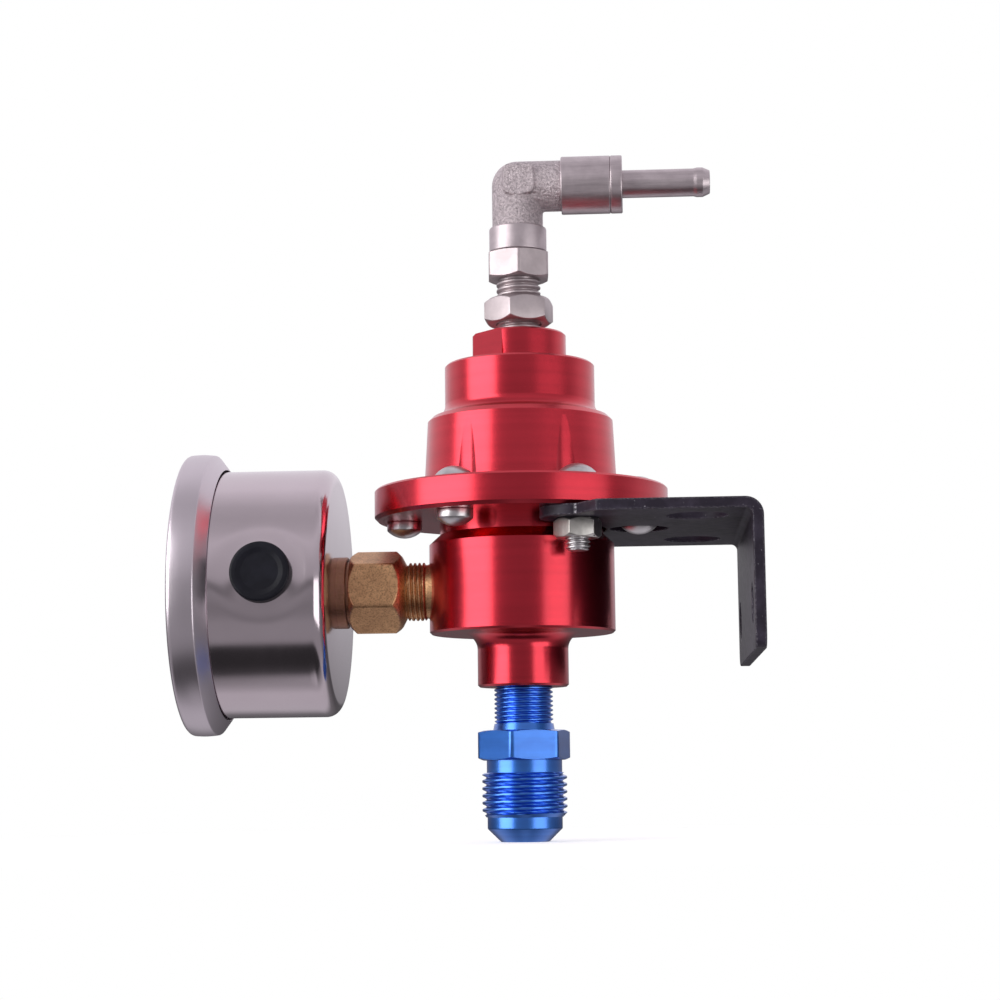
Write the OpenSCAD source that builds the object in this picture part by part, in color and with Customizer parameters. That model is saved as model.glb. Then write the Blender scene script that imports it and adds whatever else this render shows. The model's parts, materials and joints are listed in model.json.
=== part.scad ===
// Return-style fuel pressure regulator with pressure gauge, outlet adapter, bracket and swivel elbow.
// Millimetres, +Z up. The origin lies on the body axis at the lower end of the outlet thread.
// The gauge points to -X, the bracket to +X, the fuel inlet port to +Y.

/* [Outlet adapter] */
// Outside diameter of the flare thread
outlet_thread_d = 14.29; // [12.7:0.01:15.9]
// Length of the flare thread
outlet_thread_len = 7.4; // [5:0.1:12]
// Diameter of the cylinder below the thread
nose_d = 12.6; // [11:0.1:12.6]
// Length of the cylinder below the thread
nose_len = 1.9; // [1:0.1:4]
// Length of the sealing cone
nose_cone_len = 2.2; // [1.5:0.1:4]
// Diameter at the small end of the sealing cone
nose_tip_d = 8.1; // [7.4:0.1:10]
// Diameter of the neck between thread and hexagon
outlet_neck_d = 12.7; // [11:0.1:13.5]
// Length of the neck between thread and hexagon
outlet_neck_len = 2.1; // [1:0.1:4]
// Hexagon size across flats
outlet_hex_af = 14; // [13:0.5:17]
// Hexagon height
outlet_hex_h = 5; // [4:0.5:8]
// Turn of the hexagon about the body axis, in degrees
outlet_hex_turn = 17; // [0:1:60]
// Length of pipe thread that shows below the neck of the body
outlet_pipe_gap = 7.3; // [4:0.1:10]
// Fuel passage of the adapter
outlet_bore_d = 5.6; // [4:0.1:6.5]

/* [Pipe threads] */
// Outside diameter of the pipe thread that shows
pipe_thread_d = 9.9; // [9.6:0.1:10.4]
// Diameter of the tapped ports
port_d = 9.5; // [9:0.1:9.6]
// Length of pipe thread inside a port
pipe_engaged = 4; // [3:0.1:4.5]

/* [Lower body] */
// Distance from the bolt circle to the side of the lower body
body_inset = 4.25; // [4.2:0.05:4.8]
// Height of the lower body without its neck
body_h = 16.8; // [15:0.1:22]
// Diameter of the neck
neck_d = 15.4; // [14:0.1:18]
// Height of the neck
neck_h = 9; // [7:0.1:12]
// Fillet between the neck and the body
neck_fillet = 2.6; // [1:0.1:3.5]
// Depth of the groove under the flange
groove_depth = 1.85; // [1.5:0.05:2.4]
// Height of the groove under the flange
groove_h = 2.5; // [2.3:0.1:4]
// Chamfer height at the top edge of the lower body
body_top_chamfer = 1.7; // [0.5:0.1:2]
// Wall of the lower body round the fuel chamber
chamber_wall = 5.45; // [5.2:0.05:6]
// Thickness of the chamber floor
chamber_floor = 4; // [3:0.1:5]
// Height of the side ports above the underside of the body
port_rise = 7.4; // [6.5:0.1:8]
// Depth of the tapped side ports below the side of the body
port_depth = 4.7; // [4.6:0.1:5]
// Diameter of the passages from the side ports to the fuel chamber
passage_d = 6; // [4:0.1:6.4]

/* [Flange and bonnet] */
// Outside diameter of the flange
flange_d = 50; // [45:0.5:56]
// Distance from the rim of the flange to the bolt circle
bolt_inset = 5; // [4.6:0.1:5.4]
// Height of the flange
flange_h = 5.25; // [5:0.05:7]
// Thickness of the lower flange inside the skirt of the bonnet
lower_flange_h = 2.6; // [2:0.1:3]
// Wall of the skirt round the lower flange
skirt_wall = 1.5; // [1.2:0.1:1.8]
// Distance from the bolt circle to the foot of the bonnet cone
cone_inset = 3.5; // [3.3:0.05:3.7]
// Draw-in of the bonnet cone from its foot to its shoulder
cone_taper = 0.65; // [0.5:0.05:0.9]
// Height of the bonnet cone
cone_h = 12.45; // [11:0.05:16]
// Width of the shoulder between the cone and the upper cylinder
shoulder_w = 3; // [2.5:0.1:4]
// Height of the upper cylinder
upper_h = 9.1; // [8:0.1:12]
// Fillet at the foot of the upper cylinder
upper_fillet = 2.2; // [0.5:0.1:2.4]
// Diameter of the boss
boss_d = 16.1; // [15:0.1:18]
// Height of the boss
boss_h = 5.4; // [4:0.1:8]
// Distance across the two wrench flats of the boss
boss_flats = 14; // [13:0.1:14.8]
// Direction of the wrench flats, in degrees from +X
boss_flats_turn = 222; // [180:1:270]
// Chamfer under the flange
flange_chamfer = 0.6; // [0.3:0.05:0.7]
// Edge break of the turned edges
edge_break = 0.35; // [0.1:0.05:0.5]
// Wall of the cone round the lower spring chamber
cone_wall = 3.5; // [3:0.1:4]
// Wall of the upper cylinder round the upper spring chamber
upper_wall = 2.55; // [2:0.05:3]
// Thickness of the diaphragm
diaphragm_t = 0.8; // [0.6:0.1:1.2]

/* [Flange fasteners] */
// Radius of the flutes that clear the heads
flute_r = 4.1; // [3.8:0.05:4.2]
// Head diameter
head_d = 7; // [6:0.1:7.5]
// Head height
head_h = 2; // [1.5:0.1:2.4]
// Shank diameter
shank_d = 4; // [3:0.1:4.2]
// Diameter of the closed end of a rivet
tail_d = 6; // [5:0.1:6.4]
// Height of the closed end of a rivet
tail_h = 2.7; // [2:0.1:3.5]
// Nut size across flats
nut_af = 7; // [6:0.5:8]
// Nut height
nut_h = 3.3; // [2.4:0.1:3.6]
// Screw end below its nut
screw_end = 2; // [1:0.1:4]

/* [Bracket] */
// Sheet thickness
sheet_t = 1.8; // [1.5:0.1:2]
// Width of the bracket
bracket_w = 57; // [54:1:64]
// Distance from the body axis to the outer face of the leg
leg_out = 39.6; // [38:0.1:50]
// Height from the top of the plate to the end of the leg
leg_drop = 24; // [22:0.1:30]
// Outer radius of the bend
bend_r = 2.9; // [2.4:0.1:4]
// Radius of the ears round the screws
ear_r = 6.2; // [5:0.1:6.4]
// Clearance of the cut-out round the groove
relief_gap = 0.5; // [0.3:0.1:0.9]
// Diameter of the large plate holes
plate_hole_d = 10; // [8:0.1:11]
// Distance from the body axis to the outer plate holes
plate_hole_x = 29.4; // [29:0.1:31]
// Distance between the outer plate holes
plate_hole_gap = 36; // [30:1:40]
// Diameter of the mounting holes in the leg
leg_hole_d = 6.6; // [5:0.1:7]
// Distance between the mounting holes in the leg
leg_hole_gap = 42; // [36:1:46]
// Depth of the mounting holes below the top of the plate
leg_hole_drop = 16.3; // [15:0.1:18]

/* [Adjuster] */
// Thread diameter of the adjusting stud
stud_d = 7.6; // [7:0.1:8]
// Vacuum passage of the stud
stud_bore_d = 2.6; // [2:0.1:3]
// Hexagon of the stud across flats
stud_hex_af = 10.2; // [9:0.1:11]
// Height of the hexagon of the stud
stud_hex_h = 4.7; // [4:0.1:7]
// Turn of the hexagon of the stud, in degrees
stud_hex_turn = 34; // [0:1:60]
// Height of the hexagon above the boss
stud_rise = 9.6; // [9:0.1:12]
// Jam nut size across flats
jam_nut_af = 10.7; // [10:0.1:13]
// Jam nut height
jam_nut_h = 4.4; // [4:0.1:4.6]
// Height of the jam nut above the boss
jam_nut_rise = 1.8; // [1.5:0.1:2]
// Turn of the jam nut, in degrees
jam_nut_turn = 19; // [0:1:60]

/* [Valve and spring] */
// Outside diameter of the return nozzle
nozzle_d = 9; // [8:0.1:10]
// Diameter of the return passage in the nozzle
nozzle_bore_d = 5.4; // [4:0.1:6]
// Clearance of the valve plate in the fuel chamber
valve_plate_gap = 1.3; // [0.8:0.1:3]
// Thickness of the valve plate
valve_plate_t = 1.6; // [1.2:0.1:2]
// Thickness of the spring cup
cup_t = 1; // [0.8:0.1:1.5]
// Height of the rim of the spring cup
cup_rim_h = 2.5; // [1.5:0.1:3]
// Clearance of the pressure spring in the upper spring chamber
spring_room_gap = 2.3; // [2:0.1:3]
// Wire diameter of the pressure spring
spring_wire = 1.9; // [1.4:0.1:2.1]
// Turns of the pressure spring
spring_turns = 5; // [4:0.5:5.5]

/* [Swivel elbow] */
// Diameter of the collar of the elbow
elbow_collar_d = 9.9; // [9:0.1:11]
// Height of the collar of the elbow
elbow_collar_h = 4.3; // [4:0.1:6]
// Diameter of the forged legs
elbow_leg_d = 8.8; // [8:0.1:9.6]
// Height of the horizontal axis above the collar
elbow_rise = 7.5; // [6.5:0.1:10]
// Distance from the body axis to the barrel
barrel_start = 7.65; // [7:0.05:10]
// Diameter of the barrel
barrel_d = 10; // [9:0.1:11]
// Length of the barrel
barrel_len = 8.5; // [7:0.1:12]
// Diameter of the nipple
nipple_d = 4.8; // [4:0.1:6]
// Length of the nipple outside its collar
nipple_len = 15.1; // [12:0.1:20]
// Length of the collar of the nipple
nipple_collar_len = 2.1; // [1.5:0.1:3]
// Passage of the nipple
nipple_bore_d = 3; // [2:0.1:3.4]

/* [Gauge] */
// Step from the side of the case to the bezel
bezel_step = 3.05; // [2.6:0.05:3.4]
// Length of the case from its back to the crimped rim
case_len = 19; // [17.5:0.1:24]
// Sheet thickness of the case
case_t = 0.7; // [0.5:0.1:0.9]
// Distance from the side of the body to the back of the case
gauge_reach = 15.4; // [15:0.05:20]
// Outside diameter of the bezel
bezel_d = 48.2; // [47.5:0.1:50]
// Length of the bezel behind its cylinder
bezel_cone_len = 2; // [2:0.1:3]
// Length of the cylinder of the bezel
bezel_band_len = 4.4; // [4:0.1:6]
// Turn of the dial's top from the front towards up, in degrees
gauge_clock = 5; // [-20:1:20]
// Hexagon of the brass socket across flats
socket_hex_af = 12.5; // [11:0.1:14]
// Length of the hexagon with its chamfers
socket_hex_len = 8.6; // [8:0.1:11]
// Length of the plain neck between hexagon and thread
socket_neck_len = 1.9; // [1:0.1:2]
// Turn of the hexagon about the gauge axis, in degrees
socket_hex_turn = 2; // [0:1:60]
// Diameter of the blow-out plug
plug_d = 9.9; // [9:0.1:11]
// Distance from the back of the case to the plug
plug_from_back = 10.3; // [10:0.1:12]
// Height of the plug above the case
plug_proud = 1.3; // [0.8:0.1:1.8]
// Swing of the pointer over the scale, in degrees
pointer_sweep = 270; // [240:10:270]

/* [Hidden] */
$fn = 64;

// Radial clearance of pieces that sit in one another
slip = 0.05;
// Radial clearance of pieces that turn or slide in one another
run = 0.1;
// Overlap of a cut past the face that it opens
past = 1;

// Colours as the photo shows them
red = [0.72, 0.06, 0.12];
blue = [0.05, 0.25, 0.85];
brass = [0.70, 0.52, 0.25];
nickel = [0.72, 0.68, 0.62];
steel = [0.75, 0.75, 0.75];
zinc = [0.70, 0.70, 0.70];
black = [0.06, 0.06, 0.07];
rubber = [0.04, 0.04, 0.04];

// Heights along the body axis
outlet_hex_z = outlet_thread_len + outlet_neck_len;
outlet_pipe_z = outlet_hex_z + outlet_hex_h;
neck_z = outlet_pipe_z + outlet_pipe_gap;
body_z = neck_z + neck_h;
body_top_z = body_z + body_h;
flange_z = body_top_z + groove_h;
lower_flange_top = flange_z + lower_flange_h;
diaphragm_top = lower_flange_top + diaphragm_t;
flange_top = flange_z + flange_h;
shoulder_z = flange_top + cone_h;
upper_top = shoulder_z + upper_h;
boss_top = upper_top + boss_h;
port_z = body_z + port_rise;
chamber_z = body_z + chamber_floor;

// Radii of the body
flange_r = flange_d / 2;
bolt_circle_r = flange_r - bolt_inset;
body_r = bolt_circle_r - body_inset;
groove_r = body_r - groove_depth;
neck_r = neck_d / 2;
chamber_r = body_r - chamber_wall;
port_r = port_d / 2;
passage_r = passage_d / 2;
cone_foot_r = bolt_circle_r - cone_inset;
cone_top_r = cone_foot_r - cone_taper;
upper_r = cone_top_r - shoulder_w;
cone_room_r = cone_foot_r - cone_wall;
upper_room_r = upper_r - upper_wall;
spring_r = upper_room_r - spring_room_gap;
skirt_in_r = flange_r - skirt_wall;
lower_flange_r = skirt_in_r - slip;
nozzle_r = nozzle_d / 2;
nozzle_bore_r = nozzle_bore_d / 2;
stud_r = stud_d / 2;
gauge_back = body_r + gauge_reach;

// Angles of the flange fasteners round the body axis
rivet_angles = [0, 120, 180, 240];
screw_angles = [60, 300];
shank_hole_r = shank_d / 2 + run;

// A turned piece from a half section
module turned() {
    rotate_extrude()
        children();
}

// Half section of a plain ring
module ring_section(r_in, r_out, z0, z1) {
    translate([r_in, z0])
        square([r_out - r_in, z1 - z0]);
}

// Half section of a shaft with both ends chamfered
module bar_section(r, z0, z1, c) {
    polygon([[0, z0], [r - c, z0], [r, z0 + c], [r, z1 - c], [r - c, z1], [0, z1]]);
}

// Half section of the concave fillet where a shaft of radius r meets a face above it at height z
module fillet_below(r, z, f) {
    difference() {
        translate([r - f, z - f])
            square([2 * f, f]);
        translate([r + f, z - f])
            circle(f);
    }
}

// Half section of the concave fillet where a shaft of radius r stands on a face at height z
module fillet_above(r, z, f) {
    difference() {
        translate([r - f, z - f])
            square([2 * f, 2 * f]);
        translate([r + f, z + f])
            circle(f);
    }
}

// Hexagon with its corners turned off at both ends
module hexagon(af, h, c_low, c_high) {
    corner_r = af / 2 / cos(30);
    intersection() {
        cylinder(r = corner_r, h = h, $fn = 6);
        turned()
            polygon([
                [0, 0], [af / 2 - c_low / 4, 0], [corner_r, c_low],
                [corner_r, h - c_high], [af / 2 - c_high / 4, h], [0, h]
            ]);
    }
}

// Low dome of a given diameter and height
module dome(d, h) {
    dome_r = (d * d / 4 + h * h) / (2 * h);
    turned()
        intersection() {
            translate([0, h - dome_r])
                circle(dome_r);
            square([d / 2, h]);
        }
}

// Copies of a piece round the bolt circle
module on_bolt_circle(angles) {
    for (a = angles)
        rotate([0, 0, a])
            translate([bolt_circle_r, 0, 0])
                children();
}

// Lower body
spot_face_r = 7;
spot_face_depth = 0.5;
port_end = 1;

module lower_body_section() {
    difference() {
        union() {
            bar_section(neck_r, neck_z, body_z + edge_break, edge_break);
            fillet_below(neck_r, body_z, neck_fillet);
            polygon([
                [0, body_z], [body_r - edge_break, body_z], [body_r, body_z + edge_break],
                [body_r, body_top_z - body_top_chamfer], [groove_r, body_top_z],
                [groove_r, flange_z], [lower_flange_r, flange_z],
                [lower_flange_r, lower_flange_top], [0, lower_flange_top]
            ]);
        }
        ring_section(0, chamber_r, chamber_z, lower_flange_top + past);
        ring_section(0, nozzle_r + slip, body_z, chamber_z + past);
        ring_section(0, nozzle_bore_r, neck_z, body_z + past);
        ring_section(0, port_r, neck_z - past, neck_z + pipe_engaged + port_end);
    }
}

// A tapped side port: the tapped part lies above a face at height h0, and the passage runs in from there
module side_port(h0) {
    translate([0, 0, h0])
        cylinder(r = port_r, h = body_r);
    cylinder(r = passage_r, h = body_r);
}

module lower_body() {
    color(red)
        difference() {
            turned()
                lower_body_section();
            on_bolt_circle(concat(rivet_angles, screw_angles))
                translate([0, 0, flange_z - past])
                    cylinder(r = shank_hole_r, h = lower_flange_h + 2 * past);
            translate([0, 0, port_z])
                rotate([0, -90, 0])
                    side_port(body_r - port_depth);
            translate([0, 0, port_z])
                rotate([-90, 0, 0])
                    side_port(body_r - port_depth);
            translate([0, body_r - spot_face_depth, port_z])
                rotate([-90, 0, 0])
                    cylinder(r = spot_face_r, h = body_r);
        }
}

// Bonnet
shoulder_wall = 3.2;
shoulder_chamfer = 0.8;
boss_bore_len = 9.4;
room_top = shoulder_z - shoulder_wall;
ceiling_z = boss_top - boss_bore_len;

module bonnet_cone() {
    difference() {
        turned()
            polygon([
                [0, flange_z + flange_chamfer], [cone_foot_r, flange_z + flange_chamfer],
                [cone_foot_r, flange_top],
                [cone_top_r, shoulder_z - shoulder_chamfer], [cone_top_r - shoulder_chamfer, shoulder_z],
                [0, shoulder_z]
            ]);
        on_bolt_circle(concat(rivet_angles, screw_angles))
            translate([0, 0, flange_z])
                cylinder(r = flute_r, h = flange_h + cone_h);
    }
}

module bonnet_top_section() {
    bar_section(upper_r, shoulder_z - past, upper_top, edge_break);
    fillet_above(upper_r, shoulder_z, min(upper_fillet, shoulder_w - shoulder_chamfer));
    bar_section(boss_d / 2, upper_top - past, boss_top, edge_break);
}

module bonnet_room_section() {
    ring_section(0, skirt_in_r, flange_z - past, diaphragm_top);
    ring_section(0, cone_room_r, flange_z, room_top);
    ring_section(0, upper_room_r, flange_z, ceiling_z);
    ring_section(0, stud_r + run, flange_z, boss_top + past);
}

module bonnet() {
    color(red)
        difference() {
            union() {
                turned()
                    polygon([
                        [0, flange_z], [flange_r - flange_chamfer, flange_z], [flange_r, flange_z + flange_chamfer],
                        [flange_r, flange_top - edge_break], [flange_r - edge_break, flange_top], [0, flange_top]
                    ]);
                bonnet_cone();
                turned()
                    bonnet_top_section();
            }
            turned()
                bonnet_room_section();
            on_bolt_circle(concat(rivet_angles, screw_angles))
                translate([0, 0, flange_z - past])
                    cylinder(r = shank_hole_r, h = flange_h + 2 * past);
            for (side = [0, 180])
                rotate([0, 0, boss_flats_turn + side])
                    translate([boss_flats / 2, -boss_d / 2, upper_top])
                        cube([boss_d, boss_d, boss_h + past]);
        }
}

// Flange fasteners
tail_dome_h = 1.3;
nut_turn = 12;
nut_edge = 0.6;
screw_tip = flange_z - sheet_t - nut_h - screw_end;

module flange_rivets() {
    color(steel)
        on_bolt_circle(rivet_angles) {
            translate([0, 0, flange_top])
                dome(head_d, head_h);
            translate([0, 0, flange_z])
                cylinder(d = shank_d, h = flange_h);
            translate([0, 0, flange_z - tail_h + tail_dome_h])
                cylinder(d = tail_d, h = tail_h - tail_dome_h);
            translate([0, 0, flange_z - tail_h + tail_dome_h])
                mirror([0, 0, 1])
                    dome(tail_d, tail_dome_h);
        }
}

module bracket_screws() {
    color(steel)
        on_bolt_circle(screw_angles) {
            translate([0, 0, flange_top])
                dome(head_d, head_h);
            turned()
                bar_section(shank_d / 2, screw_tip, flange_top + edge_break, edge_break);
        }
}

module bracket_nuts() {
    color(zinc)
        on_bolt_circle(screw_angles)
            translate([0, 0, flange_z - sheet_t - nut_h])
                difference() {
                    rotate([0, 0, nut_turn])
                        hexagon(nut_af, nut_h, nut_edge, nut_edge);
                    translate([0, 0, -past])
                        cylinder(r = shank_d / 2 + slip, h = nut_h + 2 * past);
                }
}

// Bracket
bolt_x = bolt_circle_r * cos(60);
bolt_y = bolt_circle_r * sin(60);
tail_hole_r = plate_hole_d / 2;
relief_r = groove_r + relief_gap;
ear_step = 3;

module angle_profile() {
    bend_in_r = bend_r - sheet_t;
    difference() {
        union() {
            translate([0, -bend_r])
                square([leg_out - bend_r, bend_r]);
            translate([leg_out - bend_r, -leg_drop])
                square([bend_r, leg_drop - bend_r]);
            translate([leg_out - bend_r, -bend_r])
                circle(bend_r);
        }
        translate([-past, -leg_drop - past])
            square([leg_out - bend_r + past, leg_drop + past - sheet_t]);
        translate([leg_out - bend_r - past, -leg_drop - past])
            square([bend_in_r + past, leg_drop + past - bend_r]);
        translate([leg_out - bend_r, -bend_r])
            circle(bend_in_r);
    }
}

module bracket_plan() {
    half_w = bracket_w / 2;
    ear_y = bolt_y + ear_r;
    for (side = [-1, 1])
        translate([bolt_x, side * bolt_y])
            circle(ear_r);
    polygon([
        [bolt_x, -ear_y], [bolt_x + ear_step, -half_w], [leg_out, -half_w],
        [leg_out, half_w], [bolt_x + ear_step, half_w], [bolt_x, ear_y]
    ]);
}

module bracket() {
    color(black)
        difference() {
            translate([0, 0, flange_z])
                intersection() {
                    rotate([90, 0, 0])
                        linear_extrude(2 * bracket_w, center = true)
                            angle_profile();
                    translate([0, 0, -leg_drop - past])
                        linear_extrude(leg_drop + 2 * past)
                            bracket_plan();
                }
            translate([0, 0, flange_z - sheet_t - past]) {
                cylinder(r = relief_r, h = sheet_t + 2 * past);
                on_bolt_circle(screw_angles)
                    cylinder(r = shank_hole_r, h = sheet_t + 2 * past);
                on_bolt_circle([0])
                    cylinder(r = tail_hole_r, h = sheet_t + 2 * past);
                for (side = [-1, 1])
                    translate([plate_hole_x, side * plate_hole_gap / 2, 0])
                        cylinder(d = plate_hole_d, h = sheet_t + 2 * past);
            }
            for (side = [-1, 1])
                translate([leg_out - sheet_t - past, side * leg_hole_gap / 2, flange_z - leg_hole_drop])
                    rotate([0, 90, 0])
                        cylinder(d = leg_hole_d, h = sheet_t + 2 * past);
        }
}

// Outlet adapter
outlet_edge = 0.5;
flare_h = 1.2;
flare_d = 10.4;

module outlet_fitting() {
    pipe_r = pipe_thread_d / 2;
    engaged_r = port_r - slip;
    thread_r = outlet_thread_d / 2;
    color(blue)
        difference() {
            union() {
                turned()
                    polygon([
                        [0, -nose_len - nose_cone_len], [nose_tip_d / 2, -nose_len - nose_cone_len],
                        [nose_d / 2, -nose_len], [nose_d / 2, 0], [0, 0]
                    ]);
                cylinder(r = thread_r, h = outlet_thread_len);
                cylinder(d = outlet_neck_d, h = outlet_hex_z);
                translate([0, 0, outlet_hex_z])
                    rotate([0, 0, outlet_hex_turn])
                        hexagon(outlet_hex_af, outlet_hex_h, outlet_edge, outlet_edge);
                turned()
                    polygon([
                        [0, outlet_pipe_z], [flare_d / 2, outlet_pipe_z], [pipe_r, outlet_pipe_z + flare_h],
                        [pipe_r, neck_z], [engaged_r, neck_z],
                        [engaged_r, neck_z + pipe_engaged], [0, neck_z + pipe_engaged]
                    ]);
            }
            translate([0, 0, -nose_len - nose_cone_len - past])
                cylinder(d = outlet_bore_d, h = neck_z + pipe_engaged + nose_len + nose_cone_len + 2 * past);
        }
}

// Valve, diaphragm and spring
valve_gap = 0.1;
valve_face_h = 0.9;
valve_plate_z = lower_flange_top - valve_plate_t;
valve_face_z = valve_plate_z - valve_face_h;
rivet_r = 1.5;
rivet_head_gap = 0.3;
rivet_head_r = nozzle_bore_r - rivet_head_gap;
rivet_head_h = 0.8;
rivet_dome_h = 1;
cup_floor_z = diaphragm_top + cup_t;
coil_gap = 0.5;
cup_rim_in_r = spring_r + coil_gap;
cup_rim_t = 0.9;
spring_gap = 0.03;
stud_tip_len = 1.5;
seat_disc_t = 2;
seat_boss_h = 1.5;
seat_rim = 0.6;
seat_disc_r = spring_r + seat_rim;
stud_hex_z = boss_top + stud_rise;
stud_foot_drop = 2.4;
stud_foot_z = ceiling_z - stud_foot_drop;
seat_top_z = stud_foot_z - stud_tip_len;
spring_top_z = seat_top_z - seat_disc_t;

module seat_nozzle() {
    color(brass)
        turned()
            polygon([
                [nozzle_bore_r, body_z], [nozzle_r, body_z], [nozzle_r, valve_face_z - valve_gap - edge_break],
                [nozzle_r - edge_break, valve_face_z - valve_gap], [nozzle_bore_r, valve_face_z - valve_gap]
            ]);
}

module valve_plate() {
    color(nickel)
        turned()
            difference() {
                union() {
                    ring_section(0, chamber_r - valve_plate_gap, valve_plate_z, lower_flange_top);
                    ring_section(0, nozzle_r, valve_face_z, lower_flange_top);
                }
                ring_section(0, rivet_r + slip, valve_face_z - past, lower_flange_top + past);
                ring_section(0, rivet_head_r + slip, valve_face_z - past, valve_face_z + rivet_head_h);
            }
}

module diaphragm() {
    color(rubber)
        difference() {
            turned()
                ring_section(rivet_r + slip, lower_flange_r, lower_flange_top, diaphragm_top);
            on_bolt_circle(concat(rivet_angles, screw_angles))
                translate([0, 0, lower_flange_top - past])
                    cylinder(r = shank_hole_r, h = diaphragm_t + 2 * past);
        }
}

module spring_cup() {
    color(steel)
        turned() {
            ring_section(rivet_r + slip, cup_rim_in_r + cup_rim_t, diaphragm_top, cup_floor_z);
            ring_section(cup_rim_in_r, cup_rim_in_r + cup_rim_t, cup_floor_z, cup_floor_z + cup_rim_h);
        }
}

module diaphragm_rivet() {
    color(brass) {
        turned() {
            ring_section(0, rivet_r, valve_face_z, cup_floor_z);
            ring_section(0, rivet_head_r, valve_face_z, valve_face_z + rivet_head_h);
        }
        translate([0, 0, cup_floor_z])
            dome(2 * rivet_head_r, rivet_dome_h);
    }
}

// Compression spring: a round wire swept along a helix whose end turns lie closed
wire_r = spring_wire / 2;
coil_r = spring_r - wire_r;
spring_low_z = cup_floor_z + wire_r + spring_gap;
spring_high_z = spring_top_z - wire_r - spring_gap;
closed_turns = 0.9;
rings_per_turn = 16;
wire_sides = 8;
spring_rings = round(spring_turns * rings_per_turn);

function coil_height(turn) =
    let (
        free_turns = spring_turns - 2 * closed_turns,
        free_rise = spring_high_z - spring_low_z - 2 * closed_turns * spring_wire,
        low = min(turn, closed_turns) * spring_wire,
        high = max(turn - spring_turns + closed_turns, 0) * spring_wire,
        free = min(max(turn - closed_turns, 0), free_turns) / free_turns * free_rise
    )
    spring_low_z + low + free + high;

function wire_point(ring, side) =
    let (
        turn = ring / rings_per_turn,
        a = 360 * turn,
        b = 360 * side / wire_sides,
        r = coil_r + wire_r * cos(b)
    )
    [r * cos(a), r * sin(a), coil_height(turn) + wire_r * sin(b)];

module main_spring() {
    points = [for (i = [0 : spring_rings], k = [0 : wire_sides - 1]) wire_point(i, k)];
    walls = [
        for (i = [0 : spring_rings - 1], k = [0 : wire_sides - 1])
            [
                i * wire_sides + k, (i + 1) * wire_sides + k,
                (i + 1) * wire_sides + (k + 1) % wire_sides, i * wire_sides + (k + 1) % wire_sides
            ]
    ];
    first_cap = [[for (k = [0 : wire_sides - 1]) k]];
    last_cap = [[for (k = [wire_sides - 1 : -1 : 0]) spring_rings * wire_sides + k]];
    color(steel)
        polyhedron(points, concat(walls, first_cap, last_cap), convexity = 10);
}

module spring_seat() {
    boss_r = spring_r - spring_wire - coil_gap;
    color(steel)
        turned() {
            bar_section(seat_disc_r, spring_top_z, seat_top_z, edge_break);
            bar_section(boss_r, spring_top_z - seat_boss_h, spring_top_z + edge_break, edge_break);
        }
}

// Adjusting stud and jam nut
stud_tip_r = 2.4;
tip_slot = 1;
spigot_r = 2.9;
spigot_len = 7;
o_ring_drop = 1.5;
o_ring_room = 1.6;
o_ring_floor_r = 2.15;
clip_drop = 5.6;
clip_room = 0.6;
clip_floor_r = 2.35;
clip_t = 0.5;
clip_out_r = 3.5;
spigot_z = stud_hex_z + stud_hex_h;
stud_hex_edges = [0.9, 0.4];
jam_nut_edge = 0.8;

module adjuster_stud() {
    color(nickel)
        difference() {
            union() {
                turned() {
                    bar_section(stud_tip_r, seat_top_z, stud_foot_z + edge_break, edge_break);
                    bar_section(stud_r, stud_foot_z, stud_hex_z + edge_break, edge_break);
                    difference() {
                        bar_section(spigot_r, spigot_z - edge_break, spigot_z + spigot_len, edge_break);
                        ring_section(o_ring_floor_r, spigot_r + past, spigot_z + o_ring_drop,
                            spigot_z + o_ring_drop + o_ring_room);
                        ring_section(clip_floor_r, spigot_r + past, spigot_z + clip_drop,
                            spigot_z + clip_drop + clip_room);
                    }
                }
                translate([0, 0, stud_hex_z])
                    rotate([0, 0, stud_hex_turn])
                        hexagon(stud_hex_af, stud_hex_h, stud_hex_edges[0], stud_hex_edges[1]);
            }
            translate([0, 0, seat_top_z - past])
                cylinder(d = stud_bore_d, h = spigot_z + spigot_len - seat_top_z + 2 * past);
            translate([-stud_r, -tip_slot / 2, seat_top_z - past])
                cube([2 * stud_r, tip_slot, tip_slot + past]);
        }
}

module jam_nut() {
    color(nickel)
        translate([0, 0, boss_top + jam_nut_rise])
            difference() {
                rotate([0, 0, jam_nut_turn])
                    hexagon(jam_nut_af, jam_nut_h, jam_nut_edge, jam_nut_edge);
                translate([0, 0, -past])
                    cylinder(r = stud_r + run, h = jam_nut_h + 2 * past);
            }
}

// Swivel elbow, its seal and clip, and the hose nipple
swivel_gap = 0.1;
elbow_z = spigot_z + swivel_gap;
elbow_leg_z = elbow_z + elbow_collar_h;
arm_z = elbow_leg_z + elbow_rise;
elbow_leg_r = elbow_leg_d / 2;
vacuum_r = 1.8;
spigot_end_gap = 0.5;
spigot_room = spigot_z + spigot_len + spigot_end_gap;
barrel_end = barrel_start + barrel_len;
insert_r = 3.4;
insert_len = 4;
nipple_start = barrel_end + nipple_collar_len;
nipple_end = nipple_start + nipple_len;
bead_back = 2;
bead_proud = 0.15;
bead_rise = 1;
bead_w = 0.4;
bead_r = nipple_d / 2 + bead_proud;
pad_w = 5.4;
pad_corner = 1.5;
pad_shift = 0.4;
pad_proud = 0.25;

module along_x(z) {
    translate([0, 0, z])
        rotate([0, 90, 0])
            children();
}

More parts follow.
